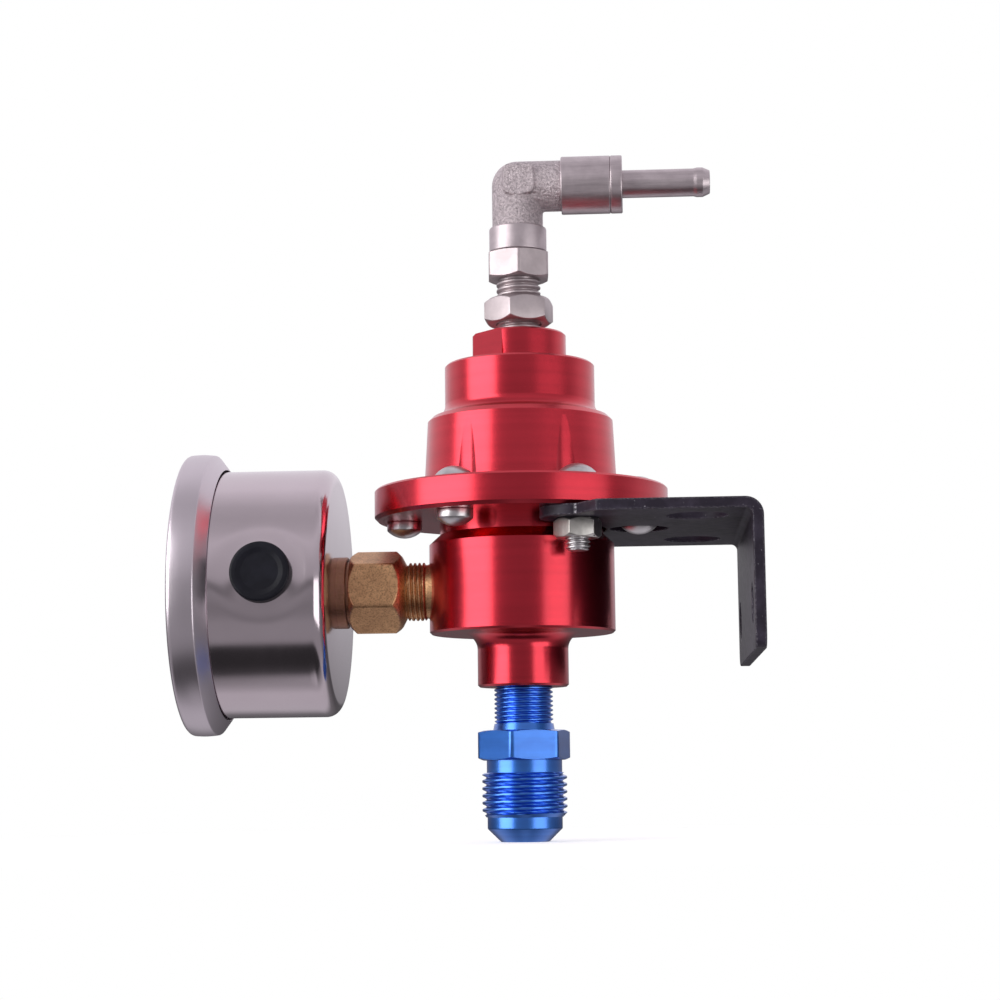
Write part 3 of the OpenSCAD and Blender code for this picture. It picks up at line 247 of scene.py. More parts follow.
def polished_sheet(name, colour, deep, centre, rough):
    """Drawn stainless sheet, polished round its axis."""
    g = Graph(name)
    lines = g.noise(g.lathe_place("X", centre), 5200.0, 4.0, 0.65)
    bands = g.noise(g.lathe_place("X", centre), 300.0, 2.0)
    dull = g.noise(g.place(), 110.0, 4.0, 0.6)
    g.set(Base_Color=g.mix(dull, deep, colour))
    g.set(Metallic=1.0, Roughness=g.span(g.math("MULTIPLY", g.math("ADD", lines, bands), 0.5), *rough))
    g.set(Normal=g.bump(g.math("ADD", lines, g.math("MULTIPLY", dull, 3.0)), 0.07, 0.00003))
    return g.material


EDGE_WEAR = 0.00045


def worn_paint(name, colour, dust, bare):
    """Black paint over steel: orange peel, pale dust, rubbed edges and small chips."""
    g = Graph(name)
    peel = g.noise(g.place(), 900.0, 2.0)
    chips = g.noise(g.place(), 1700.0, 3.0, 0.7)
    film = g.noise(g.place(), 240.0, 4.0, 0.6)
    dusty = g.mix(g.ramp(film, [(0.42, 0.0), (0.75, 1.0)]), colour, dust)
    patches = g.ramp(g.noise(g.place(), 2600.0, 4.0, 0.75), [(0.46, 0.0), (0.58, 1.0)])
    rubbed = g.math("MULTIPLY", g.edges(EDGE_WEAR), patches)
    dusty = g.mix(g.math("MULTIPLY", rubbed, 0.8), dusty, bare)
    g.set(Base_Color=g.mix(g.ramp(chips, [(0.70, 0.0), (0.725, 1.0)]), dusty, bare))
    g.set(Roughness=g.span(peel, 0.34, 0.5), Specular_IOR_Level=0.2, Normal=g.bump(peel, 0.14, 0.0001))
    return g.material


def black_rubber(name, colour, dusty):
    """Moulded black rubber with a fine matt skin."""
    g = Graph(name)
    skin = g.noise(g.place(), 1800.0, 4.0, 0.6)
    dust = g.noise(g.place(), 300.0, 3.0)
    g.set(Base_Color=g.mix(g.ramp(dust, [(0.45, 0.0), (0.8, 1.0)]), colour, dusty))
    g.set(Roughness=g.span(skin, 0.36, 0.52), Specular_IOR_Level=0.2, Normal=g.bump(skin, 0.12, 0.00008))
    return g.material


def enamel(name, colour, rough):
    """Even printed or sprayed enamel."""
    g = Graph(name)
    cloud = g.noise(g.place(), 150.0, 3.0)
    g.set(Base_Color=g.mix(cloud, tuple(0.94 * part for part in colour), colour))
    g.set(Roughness=g.span(cloud, rough, rough + 0.12))
    return g.material


def clear_window(name):
    """Clear moulded window."""
    g = Graph(name)
    haze = g.noise(g.place(), 200.0, 2.0)
    g.set(Base_Color=(0.98, 0.99, 0.99, 1.0), Transmission_Weight=1.0, IOR=1.3)
    g.set(Roughness=g.span(haze, 0.0, 0.03))
    return g.material


GAUGE_Z = (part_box("gauge_case")[0][2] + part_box("gauge_case")[1][2]) / 2 / MM
ARM_Z = (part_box("hose_nipple")[0][2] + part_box("hose_nipple")[1][2]) / 2 / MM
GAUGE_AXIS = (0.0, 0.0, GAUGE_Z * MM)
NICKEL_LIGHT = (0.60, 0.525, 0.545)
NICKEL_DARK = (0.49, 0.425, 0.445)
BRASS_TONES = ((0.76, 0.45, 0.235), (0.57, 0.325, 0.17), (0.27, 0.14, 0.07))

RED = anodised("red_anodised", (0.64, 0.022, 0.044), (0.54, 0.016, 0.034), (0.2, 0.3), 0.05, 0.5)
BLUE = anodised("blue_anodised", (0.04, 0.225, 0.80), (0.026, 0.165, 0.64), (0.25, 0.37), 0.09, 0.85)
NICKEL = plated("nickel_plate", NICKEL_LIGHT, NICKEL_DARK, (0.38, 0.52))
NICKEL_MATT = plated("nickel_matt", (0.56, 0.49, 0.50), (0.46, 0.40, 0.41), (0.42, 0.54))
NICKEL_DRAWN = drawn("nickel_drawn", NICKEL_LIGHT, NICKEL_DARK, (0.3, 0.48))
FORGING = forged("nickel_forging", (0.63, 0.55, 0.57), (0.40, 0.345, 0.36))
BRASS = brass_bar("brass", *BRASS_TONES)
# The socket's brass carries painted shade and a reddish painted reflection towards the gauge
BRASS_STEM_PAINTED_SHADE = brass_bar("brass_stem_painted_shade", *BRASS_TONES, stain_and_shade=(0.27, 0.115, 0.095))
STAINLESS = polished_sheet("stainless", (0.63, 0.55, 0.585), (0.56, 0.485, 0.52), GAUGE_AXIS, (0.09, 0.2))
ROLLED = polished_sheet("stainless_rolled", (0.65, 0.585, 0.63), (0.57, 0.51, 0.555), GAUGE_AXIS,
                        (0.24, 0.38))
STEEL = plated("steel", (0.66, 0.64, 0.65), (0.5, 0.48, 0.49), (0.26, 0.42))
ZINC = plated("zinc", (0.64, 0.62, 0.59), (0.46, 0.44, 0.41), (0.24, 0.4))
PAINT = worn_paint("black_paint", (0.020, 0.0155, 0.025), (0.050, 0.041, 0.062), (0.50, 0.48, 0.52))
RUBBER = black_rubber("rubber", (0.004, 0.004, 0.008), (0.010, 0.010, 0.017))
DIAL = enamel("dial_white", (0.86, 0.86, 0.84), 0.4)
INK = enamel("pointer_black", (0.015, 0.015, 0.016), 0.35)
GLASS = clear_window("clear_glass")

FINISH = {
    "red_anodised": RED, "blue_anodised": BLUE, "black_paint": PAINT, "brass": BRASS, "nickel_plate": NICKEL,
    "stainless": STAINLESS, "steel": STEEL, "zinc": ZINC, "rubber": RUBBER, "dial_white": DIAL,
    "pointer_black": INK, "clear_glass": GLASS,
}
SPECIAL = {"jam_nut": NICKEL_MATT}
SMOOTH_ANGLE = math.radians(28)

for part in frame["record"]["subparts"]:
    solid = NODES[part["node"]]
    solid.data.materials.clear()
    solid.data.materials.append(SPECIAL.get(part["node"], FINISH[part["material_slot"]]))
    solid.data.polygons.foreach_set("use_smooth", [True] * len(solid.data.polygons))
    solid.data.set_sharp_from_angle(angle=SMOOTH_ANGLE)

BROKEN_EDGES = {"bracket_nuts": 0.1, "jam_nut": 0.15, "flange_rivets": 0.12}

for node, width in BROKEN_EDGES.items():
    weld = NODES[node].modifiers.new("weld", "WELD")
    weld.merge_threshold = 0.002 * MM
    bevel = NODES[node].modifiers.new("edge", "BEVEL")
    bevel.width = width * MM
    bevel.segments = 3
    bevel.limit_method = "ANGLE"
    bevel.angle_limit = math.radians(40)
    bevel.harden_normals = True


# Pieces made in the scene: all sizes in millimetres, all places in the frame of the solids

SEGMENTS = 180
CREASE = math.radians(32)
CORNER_BREAK = 0.09
HEX_FOOT = 0.12
HEX_STEPS = 8
CREST_SHARE = 0.22
FLANK_SHARE = 0.72
RUN_OUT = 0.3
RUN_OUT_START = 0.4
THREAD_STEPS = 12
NEAR_AXIS = 0.02


def finish_piece(name, vertices, faces, material, body, replaced=(), crease=CREASE):
    """A mesh from millimetre points that rides on a body and stands for the named solids."""
    mesh = bpy.data.meshes.new(name)
    mesh.from_pydata([tuple(MM * part for part in point) for point in vertices], [], faces)
    skin = bmesh.new()
    skin.from_mesh(mesh)
    bmesh.ops.recalc_face_normals(skin, faces=skin.faces)
    skin.to_mesh(mesh)
    skin.free()
    mesh.polygons.foreach_set("use_smooth", [True] * len(mesh.polygons))
    mesh.materials.append(material)
    mesh.update()
    mesh.set_sharp_from_angle(angle=crease)
    piece = bpy.data.objects.new(name, mesh)
    bpy.context.scene.collection.objects.link(piece)
    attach(piece, body)
    if replaced:
        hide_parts(*replaced)
    return piece


def hexagon(across_flats, turn):
    """Radius of a hexagon's side in a direction; a broken corner lies at the angle turn, in degrees."""
    corner = across_flats / 2 / math.cos(math.radians(30)) - CORNER_BREAK

    def radius(angle):
        off_middle = (math.degrees(angle) - turn) % 60.0 - 30.0
        return min(across_flats / 2 / math.cos(math.radians(off_middle)), corner)
    return radius


def thread(low, high, major, depth, pitch, lead):
    """Radius of a right-handed thread between two heights, chamfered over a lead at its low end."""
    def radius(angle, height):
        turn = (height / pitch - angle / (2 * math.pi)) % 1.0
        groove = min(max((abs(2 * turn - 1) - CREST_SHARE) / FLANK_SHARE, 0.0), 1.0)
        groove = groove * groove * (3 - 2 * groove)
        edge = min(1.0, (height - low) / lead, (high - height) / (RUN_OUT * pitch) + RUN_OUT_START)
        return min(major - depth * groove, major - depth * (1 - edge))
    return radius


def thread_rows(low, high, sizes):
    """Rows of a thread with the given sizes between two heights."""
    count = round((high - low) / sizes["pitch"] * THREAD_STEPS)
    shape = thread(low, high, **sizes)
    rows = []
    for k in range(count + 1):
        height = low + (high - low) * k / count
        rows.append((height, lambda angle, height=height: shape(angle, height)))
    return rows


def hexagon_rows(across_flats, turn, low, high, edge_low, edge_high):
    """Rows of a hexagon whose corners are turned off at both ends."""
    side = hexagon(across_flats, turn)
    corner = across_flats / 2 / math.cos(math.radians(30))
    foot = across_flats / 2 - HEX_FOOT

    def limited(limit):
        return lambda angle: min(side(angle), limit)
    rows = []
    for k in range(HEX_STEPS + 1):
        share = k / HEX_STEPS
        rows.append((low + edge_low * share, limited(foot + (corner - foot) * share)))
    for k in range(HEX_STEPS + 1):
        share = k / HEX_STEPS
        rows.append((high - edge_high * (1 - share), limited(corner - (corner - foot) * share)))
    return rows


def rounded(points, steps=5):
    """A section's points with its corners rounded; a corner is (r, z), left sharp, or (r, z, radius)."""
    out = [points[0][:2]]
    for before, corner, after in zip(points, points[1:], points[2:]):
        size = corner[2] if len(corner) > 2 else 0.0
        here = Vector(corner[:2])
        back = Vector(before[:2]) - here
        ahead = Vector(after[:2]) - here
        bend = back.angle(ahead, math.pi)
        if size <= 0 or bend > math.radians(176):
            out.append(tuple(here))
            continue
        reach = min(size / math.tan(bend / 2), 0.49 * back.length, 0.49 * ahead.length)
        first = here + back.normalized() * reach
        last = here + ahead.normalized() * reach
        for k in range(steps + 1):
            t = k / steps
            out.append(tuple(first.lerp(here, t).lerp(here.lerp(last, t), t)))
    out.append(points[-1][:2])
    return out


def polar(rows, place, start=0.0, segments=SEGMENTS, closed=True):
    """Points and faces of rings round an axis; a row is (height, radius), numbers or functions of angle."""
    vertices, faces = [], []
    for height, radius in rows:
        for k in range(segments):
            angle = math.radians(start) + 2 * math.pi * k / segments
            r = radius(angle) if callable(radius) else radius
            h = height(angle) if callable(height) else height
            vertices.append(place(r * math.cos(angle), r * math.sin(angle), h))
    count = len(rows)
    for row in range(count if closed else count - 1):
        for k in range(segments):
            a = row * segments + k
            b = row * segments + (k + 1) % segments
            c = (row + 1) % count * segments
            faces.append((a, b, c + (k + 1) % segments, c + k))
    return vertices, faces


def upright(x, y, z):
    return (x, y, z)


def along_arm(x, y, z):
    """The frame of the elbow's arm: its height runs along +X."""
    return (z, y, ARM_Z - x)


GAUGE_BACK = -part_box("gauge_case")[1][0] / MM
DIAL_TURN = math.radians(185)


def gauge_frame(x, y, z):
    """The frame of the gauge: Z out of the dial, Y to the dial's top, from the back of the case."""
    return (-GAUGE_BACK - z, x * math.sin(DIAL_TURN) + y * math.cos(DIAL_TURN),
            GAUGE_Z + x * math.cos(DIAL_TURN) - y * math.sin(DIAL_TURN))


def box_shape(low, high, place):
    """Points and faces of a block in a frame."""
    across, deep, tall = zip(low, high)
    corners = [place(x, y, z) for z in tall for y in deep for x in across]
    return corners, [(0, 2, 3, 1), (4, 5, 7, 6), (0, 1, 5, 4), (2, 6, 7, 3), (0, 4, 6, 2), (1, 3, 7, 5)]


def joined(*shapes):
    """Several shapes as one list of points and one of faces."""
    vertices, faces = [], []
    for points, sides in shapes:
        faces += [tuple(k + len(vertices) for k in side) for side in sides]
        vertices += points
    return vertices, faces


# Threads, with the spacing that the photo shows

FLARE_THREAD = {"major": 7.145, "depth": 0.7, "pitch": 1.2, "lead": 0.75}
PIPE_THREAD = {"major": 4.95, "depth": 0.42, "pitch": 0.76, "lead": 0.3}
STUD_THREAD = {"major": 3.8, "depth": 0.52, "pitch": 1.0, "lead": 0.5}
SCREW_THREAD = {"major": 2.0, "depth": 0.38, "pitch": 0.7, "lead": 0.4}
PIPE_CORE_R = 4.7


# Outlet fitting with its two threads

OUTLET_TURN = 17.0
OUTLET_BORE = 2.8
NOSE_ROUND = 0.4
NOSE_END = -4.1
NOSE_TIP_R = 4.05
NOSE_CONE_TOP = -1.9
NOSE_R = 6.3
FLARE_TOP = 7.4
UNDERCUT_LOW = 7.45
UNDERCUT_R = 6.35
OUTLET_HEX = 14.0
OUTLET_HEX_LOW = 9.5
OUTLET_HEX_TOP = 14.5
OUTLET_HEX_EDGES = (0.45, 0.35)
OUTLET_NECK = [(OUTLET_HEX_TOP, 5.2), (15.6, 4.98)]
OUTLET_PIPE_LOW = 15.7
OUTLET_PIPE_TOP = 21.8
OUTLET_TOP = 25.8


def outlet_fitting():
    nose = rounded([(OUTLET_BORE, NOSE_END), (NOSE_TIP_R, NOSE_END, NOSE_ROUND),
                    (NOSE_R, NOSE_CONE_TOP, NOSE_ROUND), (NOSE_R, 0.0)])
    rows = [(z, r) for r, z in nose]
    rows += thread_rows(0.0, FLARE_TOP, FLARE_THREAD)
    rows += [(UNDERCUT_LOW, UNDERCUT_R), (OUTLET_HEX_LOW, UNDERCUT_R)]
    rows += hexagon_rows(OUTLET_HEX, OUTLET_TURN, OUTLET_HEX_LOW, OUTLET_HEX_TOP, *OUTLET_HEX_EDGES)
    rows += OUTLET_NECK
    rows += thread_rows(OUTLET_PIPE_LOW, OUTLET_PIPE_TOP, PIPE_THREAD)
    rows += [(OUTLET_PIPE_TOP, PIPE_CORE_R), (OUTLET_TOP, PIPE_CORE_R), (OUTLET_TOP, OUTLET_BORE)]
    vertices, faces = polar(rows, upright, start=OUTLET_TURN)
    finish_piece("outlet_fitting_threaded", vertices, faces, BLUE, "housing",
                 ["outlet_fitting"])


# Adjusting stud with the grooves of the swivel's seal and clip

STUD_BORE = 1.3
STUD_TURN = 34.0
STUD_END = 69.0
STUD_PIN_R = 2.4
STUD_CHAMFER = 0.2
STUD_THREAD_LOW = 70.5
STUD_THREAD_TOP = 91.7
STUD_NECK_R = 3.4
STUD_HEX = 10.2
STUD_HEX_LOW = 91.9
STUD_HEX_TOP = 96.6
STUD_HEX_EDGES = (0.5, 0.3)
SPINDLE_R = 2.9
SPINDLE_TOP = 103.6
SPINDLE_GROOVES = [(98.1, 99.7, 2.15), (102.2, 102.8, 2.35)]


def adjuster_stud():
    rows = [(STUD_END, STUD_BORE), (STUD_END, STUD_PIN_R - STUD_CHAMFER)]
    rows += [(STUD_END + STUD_CHAMFER, STUD_PIN_R), (STUD_THREAD_LOW, STUD_PIN_R)]
    rows += thread_rows(STUD_THREAD_LOW, STUD_THREAD_TOP, STUD_THREAD)
    rows += [(STUD_HEX_LOW, STUD_NECK_R)]
    rows += hexagon_rows(STUD_HEX, STUD_TURN, STUD_HEX_LOW, STUD_HEX_TOP, *STUD_HEX_EDGES)
    rows += [(STUD_HEX_TOP, SPINDLE_R)]
    for low, high, depth_r in SPINDLE_GROOVES:
        rows += [(low, SPINDLE_R), (low, depth_r), (high, depth_r), (high, SPINDLE_R)]
    rows += [(SPINDLE_TOP - STUD_CHAMFER, SPINDLE_R), (SPINDLE_TOP, SPINDLE_R - STUD_CHAMFER)]
    rows += [(SPINDLE_TOP, STUD_BORE)]
    vertices, faces = polar(rows, upright, start=STUD_TURN)
    finish_piece("adjuster_stud_threaded", vertices, faces, NICKEL_MATT, "adjuster",
                 ["adjuster_stud"])


# Gauge socket: pipe thread, hexagon and the block inside the case

SOCKET_TURN = 2.0
SOCKET_BORE = 1.5
SOCKET_END = -19.4
SOCKET_CORE_TOP = -15.4
SOCKET_PIPE_LOW = -15.0
SOCKET_PIPE_TOP = -11.75
SOCKET_NECK = [(-11.6, 4.5), (-11.55, 4.5), (-10.75, 6.0)]
SOCKET_HEX = 12.5
SOCKET_HEX_LOW = -10.65
SOCKET_HEX_TOP = -2.05
SOCKET_HEX_EDGES = (1.1, 1.1)
SOCKET_COLLAR = [(SOCKET_HEX_TOP, 5.3), (-1.55, 5.3), (-1.55, 5.95), (-1.4, 6.1), (0.0, 6.1)]
SPIGOT_R = 4.55
BLOCK_LOW = 1.7
BLOCK_TOP = 6.0
BLOCK = ((-9.5, -4.0, BLOCK_LOW), (9.5, 4.0, BLOCK_TOP))
BLOCK_ARM = ((-3.0, -17.5, BLOCK_LOW), (3.0, -3.9, BLOCK_TOP))
TUBE_FOOT = ((-3.0, -17.5, 5.9), (3.0, -13.5, 11.7))


def gauge_socket():
    rows = [(SOCKET_END, SOCKET_BORE), (SOCKET_END, PIPE_CORE_R), (SOCKET_CORE_TOP, PIPE_CORE_R)]
    rows += thread_rows(SOCKET_PIPE_LOW, SOCKET_PIPE_TOP, PIPE_THREAD)
    rows += SOCKET_NECK
    rows += hexagon_rows(SOCKET_HEX, SOCKET_TURN, SOCKET_HEX_LOW, SOCKET_HEX_TOP, *SOCKET_HEX_EDGES)
    rows += SOCKET_COLLAR
    rows += [(0.0, SPIGOT_R), (BLOCK_LOW, SPIGOT_R), (BLOCK_LOW, SOCKET_BORE)]
    stem = polar(rows, gauge_frame, start=SOCKET_TURN)
    blocks = [box_shape(low, high, gauge_frame) for low, high in (BLOCK, BLOCK_ARM, TUBE_FOOT)]
    vertices, faces = joined(stem, *blocks)
    finish_piece("gauge_socket_threaded", vertices, faces, BRASS_STEM_PAINTED_SHADE, "housing", ["gauge_socket"])


# Gauge case with the dip round its plug, its bezel and the plug

CASE_R = 21.05
CASE_IN_R = 20.35
CASE_WALL = 0.7
CASE_CORNER = 2.4
CASE_SEGMENTS = 240
WALL_STEPS = 34
RIM_Z = 21.0
LIP_R = 21.8
SPIGOT_HOLE = 4.6
PLUG_Z = 10.3
PLUG_R = 4.95
PLUG_STEM = 3.7
PLUG_HOLE = 3.3
PLUG_FOOT = 18.4
PLUG_FOOT_R = 4.3
PLUG_SEGMENTS = 120
PLUG_CROWN = [(PLUG_R, 21.2), (PLUG_R, 22.35, 0.7), (3.9, 22.35, 0.6), (3.1, 22.15, 0.6), (NEAR_AXIS, 22.15)]
PLUG_CROWN_STEPS = 7
DIP = 0.35
DIP_REACH = 3.8
WALL_PLAY = 0.04
BEZEL_IN_R = 21.35
BEZEL_ROOM_R = 23.4
WINDOW_R = 20.35
BEZEL_FOOT = 19.8
BEZEL_FRONT = 25.4
BEZEL_LIP = 24.7
BEZEL_SECTION = [(BEZEL_IN_R, BEZEL_FOOT), (BEZEL_IN_R, 19.0, 0.12), (23.9, 20.9, 0.45), (24.1, 22.9, 24.0),
                 (23.95, BEZEL_FRONT, 0.9), (WINDOW_R, BEZEL_FRONT, 0.2), (WINDOW_R, BEZEL_LIP, 0.1),
                 (BEZEL_ROOM_R, BEZEL_LIP), (BEZEL_ROOM_R, 21.3), (BEZEL_IN_R, BEZEL_FOOT)]


def dip(angle, height):
    """Depth by which the wall is pressed in near the plug."""
    around = CASE_R * math.radians((math.degrees(angle) + 90.0) % 360.0 - 180.0)
    share = 1 - (math.hypot(around, height - PLUG_Z) - PLUG_R) / DIP_REACH
    share = min(max(share, 0.0), 1.0)
    return DIP * share * share * (3 - 2 * share)


def back_corner(radius, base, steps=9):
    """The round from the flat back to the wall."""
    turns = [math.pi / 2 * k / steps for k in range(steps)]
    return [(base + CASE_CORNER * (1 - math.cos(t)), radius - CASE_CORNER * (1 - math.sin(t))) for t in turns]


def gauge_case():
    low = CASE_WALL + CASE_CORNER
    heights = [low + (RIM_Z - CASE_WALL - low) * k / WALL_STEPS for k in range(WALL_STEPS + 1)]
    last = len(heights) - 1

    def wall(radius, height):
        return lambda angle: radius - dip(angle, height)
    rows = [(0.0, SPIGOT_HOLE)] + back_corner(CASE_R, 0.0) + [(CASE_CORNER, CASE_R)]
    outside = len(rows)
    rows += [(z, wall(CASE_R, z)) for z in heights]
    rows += [(RIM_Z - CASE_WALL, LIP_R), (RIM_Z, LIP_R), (RIM_Z, CASE_IN_R)]
    inside = len(rows)
    rows += [(z, wall(CASE_IN_R, z)) for z in reversed(heights)]
    rows += list(reversed(back_corner(CASE_IN_R, CASE_WALL))) + [(CASE_WALL, SPIGOT_HOLE)]
    vertices, faces = polar(rows, gauge_frame, segments=CASE_SEGMENTS)

    def point(j, k, within):
        return (inside + last - j if within else outside + j) * CASE_SEGMENTS + k
    levels = [j for j, z in enumerate(heights) if abs(z - PLUG_Z) < PLUG_HOLE]
    turns = [k for k in range(CASE_SEGMENTS)
             if abs(math.radians(360 * k / CASE_SEGMENTS - 90)) * CASE_R < PLUG_HOLE]
    cut = {point(j, k, False) for j in levels[:-1] for k in turns[:-1]}
    cut |= {point(j + 1, k, True) for j in levels[:-1] for k in turns[:-1]}
    faces = [face for n, face in enumerate(faces) if n not in cut]
    edge = [(levels[0], k) for k in turns] + [(j, turns[-1]) for j in levels[1:]]
    edge += [(levels[-1], k) for k in turns[-2::-1]] + [(j, turns[0]) for j in levels[-2:0:-1]]
    for here, after in zip(edge, edge[1:] + edge[:1]):
        faces.append((point(*here, False), point(*after, False), point(*after, True), point(*here, True)))
    finish_piece("gauge_case_drawn", vertices, faces, STAINLESS, "housing", ["gauge_case"])


def gauge_bezel():
    section = rounded(BEZEL_SECTION)
    vertices, faces = polar([(z, r) for r, z in section[:-1]], gauge_frame, segments=CASE_SEGMENTS)
    finish_piece("gauge_bezel_rolled", vertices, faces, ROLLED, "housing", ["gauge_bezel"])


def plug_frame(x, y, z):
    """The frame of the plug: its height runs out of the case wall."""
    return gauge_frame(x, z, PLUG_Z + y)


def gauge_plug():
    def at_wall(wall, radius):
        return lambda angle: math.sqrt(wall * wall - (radius * math.cos(angle)) ** 2) - DIP
    within = CASE_IN_R - WALL_PLAY
    beyond = CASE_R + WALL_PLAY
    rows = [(PLUG_FOOT, NEAR_AXIS), (PLUG_FOOT, PLUG_FOOT_R), (at_wall(within, PLUG_FOOT_R), PLUG_FOOT_R),
            (at_wall(within, PLUG_STEM), PLUG_STEM), (at_wall(beyond, PLUG_STEM), PLUG_STEM),
            (at_wall(beyond, PLUG_R), PLUG_R)]
    rows += [(z, r) for r, z in rounded(PLUG_CROWN, PLUG_CROWN_STEPS)]
    vertices, faces = polar(rows, plug_frame, segments=PLUG_SEGMENTS, closed=False)
    finish_piece("gauge_plug_moulded", vertices, faces, RUBBER, "housing", ["gauge_plug"])


# Swivel elbow: a forging between a turned collar and a turned barrel, and the nipple in the barrel

ELBOW_R = 4.4
ELBOW_LEG_LOW = 100.2
ELBOW_LEG_BORE = 3.05
ELBOW_ARM_END = 8.2
PAD_HALF = 2.7
PAD_POWER = 5
PAD_FACE = 4.68
PAD_SHIFT = 0.4
FORGING_CELL = 0.18 * MM
FORGING_EASE = 14
COLLAR_SECTION = [(2.95, 96.7), (4.95, 96.7, 0.25), (4.95, 101.0, 0.3), (2.95, 101.0)]
BARREL_R = 5.0
BARREL_BORE = 1.8
BARREL_SEAT_R = 3.4
BARREL_SEAT = 12.15
BARREL_END = 16.15
BARREL_SECTION = [(BARREL_BORE, 7.65), (BARREL_R, 7.65, 0.25), (BARREL_R, BARREL_END, 0.2),
                  (BARREL_SEAT_R, BARREL_END), (BARREL_SEAT_R, BARREL_SEAT), (BARREL_BORE, BARREL_SEAT)]
NIPPLE_BORE = 1.5
NIPPLE_R = 2.4
NIPPLE_BEAD_R = 2.55
NIPPLE_END = 33.35
NIPPLE_SECTION = [(NIPPLE_BORE, 12.45), (3.2, 12.45, 0.1), (3.35, 12.6, 0.1), (3.35, BARREL_END),
                  (BARREL_R, BARREL_END, 0.3), (BARREL_R, 18.25, 0.3), (NIPPLE_R, 18.25),
                  (NIPPLE_R, 30.5, 0.5), (NIPPLE_BEAD_R, 31.1, 0.5), (NIPPLE_BEAD_R, 32.1, 0.5), (2.0, NIPPLE_END, 0.15),
                  (NIPPLE_BORE, NIPPLE_END)]


def ball_rows(middle, radius, steps=24):
    return [(middle + radius * math.sin(t), radius * math.cos(t) + 0.01)
            for t in (math.pi * (k / steps - 0.5) for k in range(steps + 1))]


def pad_frame(x, y, z):
    """The frame of the flat pads at the elbow's bend: its height runs along Y."""
    return (PAD_SHIFT + x, z, ARM_Z + PAD_SHIFT + y)


def swivel_elbow():
    def pad(angle):
        spread = abs(math.cos(angle)) ** PAD_POWER + abs(math.sin(angle)) ** PAD_POWER
        return PAD_HALF / spread ** (1 / PAD_POWER)
    leg = polar([(ELBOW_LEG_LOW, ELBOW_LEG_BORE), (ELBOW_LEG_LOW, ELBOW_R), (ARM_Z, ELBOW_R),
                 (ARM_Z, ELBOW_LEG_BORE)], upright)
    ball = polar(ball_rows(ARM_Z, ELBOW_R), upright, closed=False)
    arm = polar([(0.0, NEAR_AXIS), (0.0, ELBOW_R), (ELBOW_ARM_END, ELBOW_R), (ELBOW_ARM_END, NEAR_AXIS)],
                along_arm, closed=False)
    pads = polar([(-PAD_FACE, NEAR_AXIS), (-PAD_FACE, pad), (PAD_FACE, pad), (PAD_FACE, NEAR_AXIS)],
                 pad_frame, closed=False)
    vertices, faces = joined(leg, ball, arm, pads)
    forging = finish_piece("elbow_forging", vertices, faces, FORGING, "elbow",
                           ["swivel_elbow"])
    skin = forging.modifiers.new("skin", "REMESH")
    skin.mode = "VOXEL"
    skin.voxel_size = FORGING_CELL
    skin.use_smooth_shade = True
    ease = forging.modifiers.new("ease", "SMOOTH")
    ease.factor = 0.5
    ease.iterations = FORGING_EASE
    vertices, faces = polar([(z, r) for r, z in rounded(COLLAR_SECTION)], upright)
    finish_piece("elbow_collar", vertices, faces, NICKEL, "elbow", ["swivel_elbow"])
    vertices, faces = polar([(z, r) for r, z in rounded(BARREL_SECTION)], along_arm)
    finish_piece("elbow_barrel", vertices, faces, NICKEL_DRAWN, "elbow", ["swivel_elbow"])


def hose_nipple():
    vertices, faces = polar([(z, r) for r, z in rounded(NIPPLE_SECTION)], along_arm)
    finish_piece("hose_nipple_turned", vertices, faces, NICKEL_DRAWN, "elbow",
                 ["hose_nipple"])


# Screws that hold the bracket

SCREW_AT = [(10.0, -17.3205), (10.0, 17.3205)]
SCREW_SEGMENTS = 60
SCREW_END = 43.0
SCREW_THREAD_TOP = 50.0
SHANK_LOW = 50.05
SHANK_R = 1.98
HEAD_SEAT = 55.35
HEAD_EDGE = 55.36
HEAD_R = 3.5
HEAD_H = 1.99


def dome_rows(base, radius, height, steps=9):
    """Rows of a round head from its edge to its crown."""
    ball = (radius * radius + height * height) / (2 * height)
    rows = []
    for k in range(steps):
        r = radius * math.cos(math.pi / 2 * k / steps)
        rows.append((base + height - ball + math.sqrt(ball * ball - r * r), r))
    return rows + [(base + height, NEAR_AXIS)]


def bracket_screws():
    shapes = []
    for x, y in SCREW_AT:
        def place(px, py, pz, x=x, y=y):
            return (x + px, y + py, pz)
        rows = [(SCREW_END, NEAR_AXIS)] + thread_rows(SCREW_END, SCREW_THREAD_TOP, SCREW_THREAD)
        rows += [(SHANK_LOW, SHANK_R), (HEAD_SEAT, SHANK_R), (HEAD_SEAT, HEAD_R)]
        rows += dome_rows(HEAD_EDGE, HEAD_R, HEAD_H)
        shapes.append(polar(rows, place, segments=SCREW_SEGMENTS, closed=False))
    vertices, faces = joined(*shapes)
    finish_piece("bracket_screws_threaded", vertices, faces, STEEL, "housing", ["bracket_screws"])


# Bracket: cut flat from sheet with eased edges and rounded corners, then folded

SHEET = 1.8
SHEET_TOP = 50.1
EASE = 0.22
FOLD_R = 2.9
FOLD_X = 36.7
FOLD_LEN = FOLD_R * math.pi / 2
FOLD_CUTS = 10
LEG_END = FOLD_X + FOLD_LEN + 21.1
LEG_HOLE_X = FOLD_X + FOLD_LEN + 13.4
HALF_W = 28.5
EAR_R = 6.2
EAR_FROM = 141.3
EAR_HOLE_R = 2.1
SHOULDER_X = 13.6
SHOULDER_R = 0.9
SHOULDER_TURN = 31.0
LEG_CORNER = 2.5
RELIEF_R = 14.4
RELIEF_END = 68.99
RIVET_HOLE = (20.0, 0.0, 5.0)
PLATE_HOLE = (29.4, 18.0, 5.0)
LEG_HOLE = (LEG_HOLE_X, 21.0, 3.3)
WELD_REACH = 0.002
FLAT_SHADE = math.radians(60)


